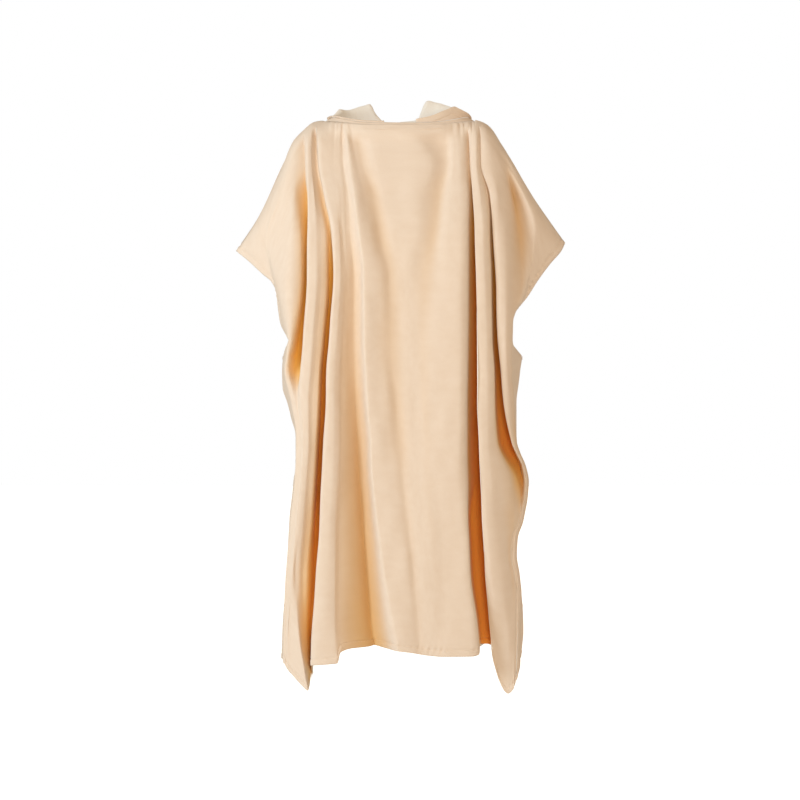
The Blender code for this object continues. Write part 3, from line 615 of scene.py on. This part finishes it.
# drop of every row under one top edge and hem: close rows at both ends, and one level shared by all lines
def rowDrops(top, hem):
    v = panelValues
    first = top + np.linspace(0, v["topReach"], v["topRows"])
    last = hem - np.linspace(v["hemReach"], 0, v["hemRows"])
    upper = np.linspace(first[-1], v["levelDrop"], v["upperRows"] + 1)[1:]
    lower = np.linspace(v["levelDrop"], last[0], v["lowerRows"] + 2)[1:-1]
    return np.concatenate([first, upper, lower, last])


# one line of cloth from the top edge to the hem, through its own places at the drops it crosses
def clothLine(topX, drops, xs, hemX, hemDrop, insideAt, insides, front, tone=0.0):
    limit = panelValues["paintedShadeLimit"]
    onNeck = abs(topX) < form["neckHalfWidth"]
    edge = headerEdge(np.array([float(topX)]), front)[0]
    top = -float(edge[2]) if onNeck else float(shoulderDrop(np.array([float(topX)]))[0])
    places = [(d, x) for d, x in zip(drops, xs) if d > top + panelValues["lineStart"]]
    knots = [(top, topX)] + places + [(hemDrop, hemX)]
    drop = rowDrops(top, hemDrop)
    inside = smoothCurve(insideAt, insides, drop) * ease(drop - top, *panelValues["foldsStart"])
    # painted shade: the depth in the fold, weighted by the line's shade weight and eased towards a limit,
    # darkens the cloth's colour there
    tint = limit * (1 - np.exp(-inside * abs(tone) / limit)) * np.sign(tone)
    return {
        "x": smoothCurve([k[0] for k in knots], [k[1] for k in knots], drop), "drop": drop, "top": top,
        "inside": inside, "colour": tint,
        "edgeDepth": abs(float(edge[1])) if onNeck else 0.0, "topX": topX,
    }


# x, y and z of a line, with the painted shade that its depth in the fold gives the cloth's colour, and its
# place at the top
def linePoints(line, front):
    depth = roundDepth(line["x"], line["drop"], line["top"], line["edgeDepth"], front) - line["inside"]
    y = (-1 if front else 1) * np.maximum(depth, panelValues["leastDepth"] * (line["drop"] > line["top"]))
    return np.stack([line["x"], y, -line["drop"], line["colour"], y * 0 + line["topX"]], axis=1)


# the side edge: sleeve opening, side seam and vent
def sideLine(table, front):
    drops, xs, opening = (np.array(c, float) for c in zip(*table))
    drop = rowDrops(drops[0], drops[-1])
    y = (-1 if front else 1) * np.maximum(smoothCurve(drops, opening, drop), sewnGap)
    x = smoothCurve(drops, xs, drop)
    return np.stack([x, y, -drop, np.zeros_like(x), np.full_like(x, xs[0])], axis=1)


slotValues = {
    "undercut": 4,              # a slot runs this far in behind its lip
    "steep": (8, 30),           # depth from which, and by which, a slot has that overhang
    # a share in a shallow slot, and what a steep one adds to it
    "floorMost": (0.66, 0.26), "wallDepth": (0.45, 0.15),
    "floorDepth": 0.93,
    # in a shallow slot the two feet at the lip are this share further from it
    "foot": 0.25, "heel": 0.10,
    "heelUnder": 0.6, "liftFrom": 0.88,
}


# a line between two others, a share of the way from the first to the second, with its own depth, which is
# also its painted shade
def between(first, second, share, inside, aside=0, lift=0):
    made = {key: first[key] * (1 - share) + second[key] * share for key in first}
    made["drop"] = made["drop"] - lift * ease(made["drop"] / made["drop"][-1], slotValues["liftFrom"], 1)
    made["x"] = made["x"] + aside
    made["inside"] = made["colour"] = inside
    return made


# A deep slot between its edge and its lip. The floor lies between the two feet; the further foot is
# hidden behind the lip, so that the next fold overhangs it and shows a crisp edge. Where the slot is
# shallow, it is an even hollow.
def slotLines(edge, lip, deep, floor, lift):
    v = slotValues
    near = edge["inside"]
    steep = ease(deep - near, *v["steep"])
    under = v["undercut"] * steep
    floor = np.minimum(floor, v["floorMost"][0] + v["floorMost"][1] * steep)
    wall = near + (deep - near) * (v["wallDepth"][0] + v["wallDepth"][1] * steep)
    bottom = near + (deep - near) * v["floorDepth"]
    return [
        between(edge, lip, floor * 0.5, wall, 0, max(lift, 0)),
        between(edge, lip, floor, bottom, 0, max(lift, 0) + min(lift, 0) / 2),
        between(edge, lip, 1 - v["foot"] * (1 - steep), deep, under, lift),
        between(edge, lip, 1 - v["heel"] * (1 - steep), (deep + lip["inside"]) / 2, under * v["heelUnder"]),
    ]


# lines near a side edge kept inside it, each a little further in than the last
def keepInside(lines, front):
    gap = panelValues["sideGap"]
    for key, way, ordered in (("sideRight", 1, lines), ("sideLeft", -1, lines[::-1])):
        drops, xs = np.array(form[key], float).T[:2]
        for k, line in enumerate(ordered[:panelValues["sideLines"]]):
            edge = smoothCurve(drops, xs, line["drop"]) * way + gap * (k + 1)
            line["x"] = np.maximum(line["x"] * way, edge) * way
    made = [linePoints(line, front) for line in lines]
    return np.stack([sideLine(form["sideRight"], front)] + made + [sideLine(form["sideLeft"], front)])


def frontPanelLines():
    lines, edge = [], None
    insideAt = (0,) + frontDrops + (panelValues["hemAt"],)
    flat = (0,) * (len(frontDrops) + 1)
    for name, row in frontAcross.items():
        depths = frontInside.get(name, flat)
        tone = foldShadeWeights.get(name, panelValues["openHollowShade"])
        line = clothLine(
            row[0], frontDrops, row[1:-2], row[-2], row[-1], insideAt, depths[:1] + depths, True, tone)
        if name.startswith("lip"):
            depths = frontInside["slot" + name[-1]]
            floors = frontFloors[name[-1]]
            across = (edge["drop"] + line["drop"]) / 2
            deep = smoothCurve(insideAt, depths[:1] + depths, across)
            deep = deep * ease(line["drop"] - line["top"], *panelValues["foldsStart"])
            deep = np.maximum(deep, np.maximum(edge["inside"], line["inside"]))
            floor = smoothCurve(insideAt, floors[:1] + floors, across)
            lines += slotLines(edge, line, deep, floor, slotLift.get(name[-1], 0))
        lines.append(line)
        edge = line
    return keepInside(lines, True)


def backPanelLines():
    lines = []
    for name, row in backLines.items():
        lines.append(clothLine(row[0], lineDrops, row[1:6], row[6], row[7], depthAt, row[8:12], False))
    return keepInside(lines, False)


waveValues = {"count": 12, "turn": 0.35, "pitches": (0.7, 1.6), "downShare": 0.6}


# slow uneven waves in the cloth: a sum of seeded sines, longer down the cloth than across it
def unevenness(grid, seed, size, amplitude):
    v = waveValues
    random = np.random.default_rng(seed)
    total = np.zeros(grid.shape[:2])
    for _ in range(v["count"]):
        angle = random.normal(0, v["turn"])
        pitch = size * random.uniform(*v["pitches"])
        phase = random.uniform(0, 2 * math.pi)
        along = grid[..., 0] * math.cos(angle) + grid[..., 2] * math.sin(angle) * v["downShare"]
        total += np.sin(2 * math.pi * along / pitch + phase)
    return total * amplitude / math.sqrt(v["count"])


def bothWaves(grid, seed, waves):
    return sum(unevenness(grid, seed + k, *wave) for k, wave in enumerate(waves))


# soft creases: each a trough or ridge along a line, a bell across it and fading to both ends
def creases(grid, table):
    total = np.zeros(grid.shape[:2])
    x, drop = grid[..., 0], -grid[..., 2]
    for x0, drop0, x1, drop1, width, height in table:
        dx, dd = x1 - x0, drop1 - drop0
        length = math.hypot(dx, dd)
        along = ((x - x0) * dx + (drop - drop0) * dd) / length ** 2
        aside = ((x - x0) * dd - (drop - drop0) * dx) / length
        fade = np.clip(1 - (2 * along - 1) ** 2, 0, 1) ** 2
        total += height * np.exp(-(aside / width) ** 2) * fade
    return total


# gathers under the neck band: short troughs that start at the seam and run down with the cloth
def gathers(topX, fall, table):
    total = np.zeros(topX.shape)
    for x0, width, length, height in table:
        total += height * np.exp(-((topX - x0) / width) ** 2) * np.exp(-(fall / length) ** 2)
    return total * ease(fall, 0, panelValues["gathersStart"])


# share of the wall's thickness at every point: less within a few columns of a sharp turn
def slimmer(grid):
    v = panelValues
    turn = np.zeros(grid.shape[:2])
    turn[:, 1:-1] = sharpness(grid)
    reach = v["slimColumns"]
    wide = np.max([np.roll(turn, k, axis=1) for k in range(-reach, reach + 1)], axis=0)
    return (1 - v["slim"] * ease(wide, v["slimFrom"], v["slimTo"]))[..., None]


# a turned edge: thicker within its width, with a bell-shaped groove along its stitch line
def turnedEdge(away, v):
    beyond = away - v["hemWidth"]
    groove = v["hemGroove"] * np.exp(-(beyond / v["grooveWidth"]) ** 2)
    return v["hemRaise"] * (1 - ease(beyond, -1, 1)) - groove


def makePanel(name, lines, front, creaseTable, gatherTable, seed):
    v = panelValues
    grid = acrossLines(lines, chooseColumns(lines, v["columns"]))
    # the fourth value is the painted fold shade, the fifth the place at the top edge
    grid, inside, topX = grid[..., :3], grid[..., 3], grid[..., 4]
    side = -1 if front else 1
    onShoulder = np.abs(grid[0, :, 0]) > form["neckHalfWidth"]
    grid[0, onShoulder, 1] = side * sewnGap
    grid[0, ~onShoulder] = headerEdge(grid[0, ~onShoulder, 0], front)
    normal = gridNormal(grid) * -side
    drop = -grid[..., 2]
    fall, fromRight = runAlong(grid, 0), runAlong(grid, 1)
    toHem = fall[-1:] - fall
    toSide = np.minimum(fromRight, fromRight[:, -1:] - fromRight)
    openSide = 1 - ease(drop, *v["armholeEnds"]) * (1 - ease(drop, *v["ventStarts"]))
    raised = gathers(topX, fall, gatherTable) + creases(grid, creaseTable)
    for away, along, strength in ((toHem, fromRight, 1), (toSide, drop, openSide)):
        sway = v["puckerSway"] * np.sin(along / v["swayPitch"])
        puckers = np.sin(2 * math.pi * along / v["puckerPitch"] + sway)
        nearLine = np.exp(-((away - v["hemWidth"]) / v["puckerWidth"]) ** 2)
        raised += strength * (turnedEdge(away, v) + v["pucker"] * puckers * nearLine)
    calm = ease(fall, 0, v["calmTop"]) * ease(toSide, 0, v["calmSide"])
    raised += bothWaves(grid, seed, v["waves"]) * calm
    grid = grid + normal * raised[..., None]
    # the sewn part of a side edge stays against the other panel
    grid[(toSide < 1) & (openSide < 0.5), 1] = side * sewnGap
    normal = gridNormal(grid) * -side
    if not front:
        grid, normal, inside = grid[:, ::-1], normal[:, ::-1], inside[:, ::-1]
    thickness = clothThickness * slimmer(grid)
    piece = clothShell(name, grid * mm, normal, thickness, (velour, terry), inside * mm)
    return piece, grid * mm, normal


# from x and drop, to x and drop, half width, height; below zero is a trough
frontCreases = (
    (238, 470, 205, 500, 5, -2.0), (240, 476, 214, 540, 6, -2.2), (238, 482, 226, 560, 6, 1.6),
    (-230, 452, -205, 480, 5, -1.8), (-232, 460, -212, 520, 6, -1.8),
    (-20, 300, 10, 470, 16, -1.6), (60, 420, 40, 640, 20, 1.4), (0, 700, 30, 900, 18, -1.6),
    (110, 520, 100, 760, 12, -1.2), (70, 800, 96, 1000, 16, -1.8), (-50, 560, -30, 720, 9, 1.2),
)
backCreases = (
    (-232, 470, -200, 520, 6, -2.0), (236, 486, 208, 540, 6, -2.0), (10, 420, -10, 640, 20, -1.6),
    (60, 620, 80, 840, 16, 1.6), (-60, 500, -40, 700, 14, 1.2), (-20, 820, 20, 980, 18, -1.6),
)
# x at the top edge, half width, length, height
frontGathers = (
    (-143, 3.2, 34, -2.2), (-136, 2.4, 22, 1.4), (-130, 2.8, 40, -2.4), (-122, 2.2, 18, -1.6),
    (-114, 2.6, 46, -2.6), (-106, 2.6, 22, 1.2), (-99, 3.0, 30, -2.0), (-90, 2.4, 16, -1.0),
    (-62, 3.0, 14, -0.8), (-40, 3.4, 16, -0.9), (-25, 2.6, 22, -1.4), (-12, 3.2, 18, -1.0),
    (-2, 2.4, 20, -1.5), (16, 3.2, 14, -0.9), (29, 2.6, 24, -1.6), (44, 3.0, 16, -0.8),
    (56, 2.4, 16, -1.0), (70, 3.0, 18, -1.0), (82, 2.4, 20, -1.2), (92, 3.0, 24, -1.4),
    (104, 2.6, 26, -1.8), (112, 2.2, 20, 1.2), (119, 2.6, 44, -2.4), (127, 2.0, 26, -1.8),
    (134, 2.2, 30, 1.2), (142, 2.4, 48, -2.4), (147, 2.0, 22, -1.4),
)
backGathers = tuple((x, 3.0, 18 + 9 * ((k * 5) % 4), -1.0 - 0.4 * ((k * 3) % 4))
                    for k, x in enumerate(range(-140, 141, 14)))

frontPanel, frontGrid, frontNormal = makePanel(
    "frontPanel", frontPanelLines(), True, frontCreases, frontGathers, 11)
backPanel, backGrid, backNormal = makePanel(
    "backPanel", backPanelLines(), False, backCreases, backGathers, 23)
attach(frontPanel, "root")
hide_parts("front_panel")
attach(backPanel, "root")
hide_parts("back_panel")
print("panels ready")


bandValues = {
    "rows": 11, "columns": 240, "fullness": 0.1, "lowest": 0.1, "topOut": 0.1,
    "tuckedIn": 2.0, "tuckedTo": 0.3,    # how far in, and up to which share of the height
    "endGap": 0.3,
}


# the band: a ring that starts behind the gathered edge, swells by a sine and ends at the hood's seam
def makeBand():
    v = bandValues
    half = v["columns"] // 2
    turn = (np.arange(half) + 0.5) / half * math.pi
    x = np.cos(turn) * (form["neckHalfWidth"] - v["endGap"])
    rows, normals = [], []
    for height in np.linspace(v["lowest"], 1, v["rows"]):
        ring = np.concatenate([neckEdge(x, True, height), neckEdge(x[::-1], False, height)])
        out = np.concatenate([neckNormal(x, True), neckNormal(x[::-1], False)])
        tucked = v["tuckedIn"] * (1 - min(1, height / v["tuckedTo"]))
        swell = v["topOut"] + v["fullness"] * math.sin(math.pi * height) - tucked
        rows.append(ring + out * swell)
        normals.append(out)
    grid, normal = np.stack(rows), np.stack(normals)
    piece = clothShell("neckBand", grid * mm, normal, clothThickness, (velour, terry), ring=True)
    return piece, grid * mm, normal


neckBand, bandGrid, bandNormal = makeBand()
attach(neckBand, "root")
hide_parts("neck_band")
print("neck band ready")


# place along half of the neckline; the free edge's height and reach; the turn's rise and lean; hang; draw
hoodRight = (
    (0.00, 2, 1, 2, 0, 0, 0.00), (0.14, 2, 1, 2, 0, 0, 0.00), (0.30, 2, 2, 2, 0, 0, 0.00),
    (0.40, 2, 3, 2, 1, 4, 0.00), (0.47, 1, 8, 2, 1, 8, 0.00), (0.53, 0, 10, 3, 2, 14, 0.00),
    (0.60, -6, 22, 9, 3, 40, 0.06), (0.625, -9, 30, 14, 4, 58, 0.09), (0.66, -13, 40, 21, 5, 80, 0.14),
    (0.70, -17, 52, 21, 7, 105, 0.18), (0.765, -24, 70, 26, 8, 152, 0.25),
    (0.82, -30, 82, 34, 8, 182, 0.30), (0.855, -35, 87, 39, 8, 205, 0.335),
    (0.872, -37, 88, 25, 8, 213, 0.345), (0.897, -41, 90, 12, 11, 225, 0.35),
    (0.92, -44, 90, 3, 14, 230, 0.35), (1.00, -54, 92, 2, 18, 240, 0.36),
)
hoodLeft = (
    (0.00, 6, 1, 3, 0, 0, 0.00), (0.08, 12, 1, 5, 0, 0, 0.00), (0.14, 19, 2, 8, 0, 0, 0.00),
    (0.175, 22, 3, 10, 0, 0, 0.00), (0.21, 25, 5, 12, 0, 0, 0.00), (0.26, 18, 5, 10, 0, 0, 0.00),
    (0.32, 11, 4, 7, 0, 2, 0.00), (0.42, 3, 4, 3, 1, 4, 0.00), (0.50, 0, 6, 3, 2, 10, 0.00),
    (0.60, -6, 24, 10, 3, 44, 0.06), (0.68, -15, 48, 20, 6, 94, 0.16), (0.74, -22, 66, 29, 8, 140, 0.22),
    (0.80, -26, 80, 38, 8, 172, 0.28), (0.865, -33, 86, 45, 8, 205, 0.33),
    (0.88, -36, 88, 38, 8, 212, 0.34), (0.897, -38, 88, 22, 9, 218, 0.34),
    (0.91, -41, 90, 8, 11, 224, 0.35), (1.00, -54, 92, 3, 18, 240, 0.36),
)
# section of the pouch: shares of the lean and of the free edge's reach, and a distance out; shares of the
# rise, of the free edge's height and of the hang; clearance from the back panel, where it isn't 0
pouchSection = (
    (0.0, 0.0, 0, 0.0, 0.0, 0.00, 0), (0.3, 0.0, 0, 0.7, 0.0, 0.00, 0), (1.0, 0.0, 3, 1.0, 0.0, 0.00, 0),
    (1.0, 0.0, 9, 0.6, 0.0, 0.12, 6), (1.0, 0.0, 12, 0.0, 0.0, 0.50, 6),
    (1.0, 0.0, 14, 0.0, 0.0, 0.86, 9), (1.0, 0.0, 24, 0.0, 0.0, 1.00, 20),
    (1.0, 0.0, 34, 0.0, 0.0, 0.86, 34), (0.5, 0.5, 20, 0.0, 0.5, 0.50, 40),
    (0.0, 1.0, 0, 0.0, 1.0, 0.00, 40),
)
hoodValues = {
    "columns": 130, "rows": 120, "thinner": 0.85, "lift": 0.9, "corner": 34,
    "away": (1, 2, 0),                         # stretches the neckline's places into the directions outward
    "pouchStarts": 0.38, "pouchFull": 0.58, "wideFrom": 0.50, "wideTo": 0.80, "narrow": 0.12,
    "backEase": 12, "pressed": (0.12, 0.4),    # how the pouch is kept off the back panel
    "hemWidth": 14, "hemRaise": 0.5, "hemGroove": 0.8, "grooveWidth": 1.8,
    "seamDip": 1.0, "seamWidth": 3.0, "seamFrom": (20, 60),
    "waves": ((60, 1.4), (24, 0.5)),           # size and height
    # the waves grow between these distances from the neck, the seam and the free edge
    "calmNeck": (10, 60), "calmSeam": (2, 20), "calmEdge": (2, 24),
}


# points moved back until they lie clear of the back panel, where they are below its top edge
def offTheBack(spots, clearance, strength):
    x, drop = spots[:, 0], -spots[:, 2]
    share = np.abs(x) / form["neckHalfWidth"]
    onNeck = share < 1
    top = np.where(onNeck, neckDrop(share, False), shoulderDrop(x))
    edgeDepth = np.where(onNeck, neckDepth(share, False), 0)
    panel = roundDepth(x, np.maximum(drop, top), top, edgeDepth, False)
    low = np.clip((drop - top) / hoodValues["backEase"] + 1, 0, 1) * ease(strength, *hoodValues["pressed"])
    spots[:, 1] = np.where(low > 0, np.maximum(spots[:, 1], (panel + clearance) * low), spots[:, 1])
    return spots


# half of the hood: a low standing strip at its front corner that turns over into the pouch behind the
# neck
def makeHood(name, table, side, seed):
    v = hoodValues
    table = np.array(table, float)
    place = np.linspace(0, 1, v["columns"] + 1)
    edge, out, rise, lean, hang, draw = (smoothCurve(table[:, 0], table[:, c], place) for c in range(1, 7))
    first = math.asin(v["corner"] / form["neckHalfWidth"])
    turn = first + (math.pi - first) * place
    x = -np.sin(turn) * form["neckHalfWidth"]
    onFront = (turn < math.pi / 2)[:, None]
    seam = np.where(onFront, neckEdge(x, True, 1.0), neckEdge(x, False, 1.0)) + np.array([0, 0, v["lift"]])
    away = unit(seam * np.array(v["away"]))

    def point(outBy, upBy, clearance=None):
        spot = seam + away * outBy[:, None] + np.array([0, 0, 1.0]) * upBy[:, None]
        spot[:, 0] *= 1 - draw * np.clip(-upBy / np.maximum(hang, 1), 0, 1)
        return spot if clearance is None else offTheBack(spot, clearance, wide)

    wide = v["narrow"] + (1 - v["narrow"]) * ease(place, v["wideFrom"], v["wideTo"])
    pouch = []
    for ofLean, ofOut, apart, ofRise, ofEdge, ofHang, clearance in pouchSection:
        outBy = lean * ofLean + out * ofOut + apart * wide
        upBy = rise * ofRise + edge * ofEdge - hang * ofHang
        pouch.append(point(outBy, upBy, clearance * wide if clearance else None))
    strip = [point(out * share ** 2, edge * share) for share in np.linspace(0, 1, len(pouch))]
    blend = ease(place, v["pouchStarts"], v["pouchFull"])[:, None]
    stations = np.stack([a * (1 - blend) + b * blend for a, b in zip(strip, pouch)])
    down = np.linspace(0, len(stations) - 1, v["rows"] + 1)
    grid = throughLines(stations, np.ones((len(stations) - 1, 1, 1)), down)
    grid[..., 0] = -np.maximum(np.abs(grid[..., 0]), sewnGap)
    grid[:, -1, 0] = -sewnGap
    fall = runAlong(grid, 0)
    toEdge = fall[-1:] - fall
    toSeam = np.abs(grid[..., 0])
    dip = v["seamDip"] * np.exp(-(toSeam / v["seamWidth"]) ** 2) * ease(fall, *v["seamFrom"])
    calm = ease(fall, *v["calmNeck"]) * ease(toSeam, *v["calmSeam"]) * ease(toEdge, *v["calmEdge"])
    raised = turnedEdge(toEdge, v) - dip + bothWaves(grid, seed, v["waves"]) * calm
    grid = grid + gridNormal(grid) * raised[..., None]
    grid[..., 0] = -np.maximum(np.abs(grid[..., 0]), sewnGap)
    normal = gridNormal(grid)
    normal[0] = np.where(onFront, neckNormal(x, True), neckNormal(x, False))
    if side > 0:
        mirror = np.array([-1, 1, 1])
        grid, normal = (grid * mirror)[:, ::-1], (normal * mirror)[:, ::-1]
    piece = clothShell(name, grid * mm, normal, clothThickness * v["thinner"], (velour, terry))
    return piece, grid * mm, normal


hoodPieces = []
for name, table, side, node, seed in (
        ("hoodRight", hoodRight, -1, "hood_right", 31), ("hoodLeft", hoodLeft, 1, "hood_left", 47)):
    piece, grid, normal = makeHood(name, table, side, seed)
    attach(piece, "root")
    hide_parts(node)
    hoodPieces.append((piece, grid, normal))
print("hood ready")


tackValues = {
    "drops": (476.0, 972.0), "stitches": 6, "apart": 1.1, "reach": 4.5, "out": 0.6,
    "length": 8.0, "width": 1.0,
}
stitchValues = {"pitch": 3.4 * mm, "length": 2.6 * mm, "width": 0.7 * mm, "height": 0.35 * mm}
nearRows = 30           # rows or columns of a grid in which a line of stitches is looked for


# a path that keeps one distance from an edge: for each line of the grid, the point at that distance along
# it
def pathInside(grid, normal, distance, axis, fromEnd):
    if axis == 1:
        grid, normal = grid.transpose(1, 0, 2), normal.transpose(1, 0, 2)
    if fromEnd:
        grid, normal = grid[::-1], normal[::-1]
    along = runAlong(grid[:nearRows], 0)
    k = np.clip((along < distance).sum(axis=0) - 1, 0, len(along) - 2)
    column = np.arange(grid.shape[1])
    step = np.maximum(along[k + 1, column] - along[k, column], 1e-9)
    t = np.clip((distance - along[k, column]) / step, 0, 1)[:, None]
    points = grid[k, column] * (1 - t) + grid[k + 1, column] * t
    return points, normal[k, column]


# a bar tack over the end of a side seam: stitches side by side, from the front panel to the back one
def barTack(x, drop):
    v = tackValues
    way = 1 if x > 0 else -1
    normals = np.array([(way, 0.0, 0.0)] * 2)
    size = np.array([2 * v["reach"], v["length"], v["width"], v["width"]]) * mm
    rows = []
    for k in range(v["stitches"]):
        low = -drop + (k - (v["stitches"] - 1) / 2) * v["apart"]
        points = np.array([(x + way * v["out"], reach, low) for reach in (-v["reach"], v["reach"])]) * mm
        rows.append(stitchRow(points, normals, *size))
    return rows


def sewSeams():
    v = stitchValues
    size = (v["pitch"], v["length"], v["width"], v["height"])
    hem = panelValues["hemWidth"] * mm
    rows = []
    sleeveEnd, ventStart = panelValues["armholeEnds"][0] * mm, panelValues["ventStarts"][1] * mm
    for grid, normal in ((frontGrid, frontNormal), (backGrid, backNormal)):
        rows.append(stitchRow(*pathInside(grid, normal, hem, 0, True), *size))
        for fromEnd in (False, True):
            points, up = pathInside(grid, normal, hem, 1, fromEnd)
            drop = -points[:, 2]
            for part in (drop < sleeveEnd, drop > ventStart):
                rows.append(stitchRow(points[part], up[part], *size))
    band, bandUp = (np.concatenate([row[-2], row[-2][:1]]) for row in (bandGrid, bandNormal))
    rows.append(stitchRow(band, bandUp, *size))
    for piece, grid, normal in hoodPieces:
        rows.append(stitchRow(*pathInside(grid, normal, hoodValues["hemWidth"] * mm, 0, True), *size))
    for key in ("sideRight", "sideLeft"):
        drops, xs = np.array(form[key], float).T[:2]
        for drop in tackValues["drops"]:
            rows += barTack(float(smoothCurve(drops, xs, np.array([drop]))[0]), drop)
    return stitchPiece("seamStitches", rows, thread)


seamStitches = sewSeams()
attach(seamStitches, "root")
print("sewing ready")


stageValues = {
    "floorDrop": 1.50, "floorSize": 40, "floorRough": 0.9, "floorShine": 0.1,
    "white": (0.93, 0.93, 0.93), "skyTint": (1.0, 0.79, 0.54), "skyLight": 0.40, "skySeen": 1.0,
    "lens": 101.25, "sensor": 36,          # 1.6 m wide at 4.5 m
    "cameraPlace": (0, -4.5, -0.56), "clipEnd": 100,
    # place, size in metres, power in watts, tint
    "lights": {
        "keyLight": ((-3.4, -2.6, 1.0), 1.3, 118, (0.82, 0.95, 1.0)),
        "fillLight": ((0.5, -4.6, -0.2), 0.8, 52, (1.0, 0.84, 0.62)),
        "sideLight": ((3.6, -1.3, 1.0), 0.9, 16, (1.0, 0.92, 0.84)),
    },
}


# a wide pale floor that the camera sees as white
def makeFloor():
    v = stageValues
    half, level = v["floorSize"] / 2, -v["floorDrop"]
    mesh = bpy.data.meshes.new("floor")
    corners = [(x * half, y * half, level) for x, y in ((-1, -1), (1, -1), (1, 1), (-1, 1))]
    mesh.from_pydata(corners, [], [(0, 1, 2, 3)])
    material, tree, link, shader = newFinish("paleFloor", {
        "Base Color": (*v["white"], 1), "Roughness": v["floorRough"], "Specular IOR Level": v["floorShine"],
        "Emission Color": (1, 1, 1, 1)})
    seen = addNode(tree, "LightPath")
    link(seen.outputs["Is Camera Ray"], shader.inputs["Emission Strength"])
    mesh.materials.append(material)
    return addPiece("floor", mesh)


# a studio of even white: the backdrop that the camera sees is brighter than the light that it gives
def whiteStudio():
    v = stageValues
    world = bpy.data.worlds.new("studio")
    bpy.context.scene.world = world
    world.use_nodes = True
    tree = world.node_tree
    tree.nodes.clear()
    path = addNode(tree, "LightPath")
    light = addNode(tree, "Background", {"Color": (*v["skyTint"], 1), "Strength": v["skyLight"]})
    seen = addNode(tree, "Background", {"Color": (1, 1, 1, 1), "Strength": v["skySeen"]})
    mix = addNode(tree, "MixShader")
    out = addNode(tree, "OutputWorld")
    for start, end in (
            (path.outputs["Is Camera Ray"], mix.inputs["Fac"]),
            (light.outputs["Background"], mix.inputs[1]),
            (seen.outputs["Background"], mix.inputs[2]),
            (mix.outputs["Shader"], out.inputs["Surface"])):
        tree.links.new(start, end)


# a square soft box at a place, turned to the garment's chest
def softBox(name, place, size, power, tint, aim=(0, 0, -0.5)):
    data = bpy.data.lights.new(name, "AREA")
    data.color = tint
    data.shape = "SQUARE"
    data.size = size
    data.energy = power
    lamp = bpy.data.objects.new(name, data)
    bpy.context.collection.objects.link(lamp)
    lamp.location = place
    way = np.array(aim) - np.array(place)
    flat = math.hypot(way[0], way[1])
    lamp.rotation_euler = (math.atan2(flat, -way[2]), 0, math.atan2(-way[0], way[1]))


# level, in front of the garment
def frontCamera():
    v = stageValues
    data = bpy.data.cameras.new("camera")
    data.sensor_width = v["sensor"]
    data.lens = v["lens"]
    data.clip_end = v["clipEnd"]
    camera = bpy.data.objects.new("camera", data)
    bpy.context.collection.objects.link(camera)
    camera.location = v["cameraPlace"]
    camera.rotation_euler = (math.pi / 2, 0, 0)
    bpy.context.scene.camera = camera


floor = makeFloor()
whiteStudio()
for name, light in stageValues["lights"].items():
    softBox(name, *light)
frontCamera()
bpy.context.scene.view_settings.view_transform = "Standard"
print("stage ready")
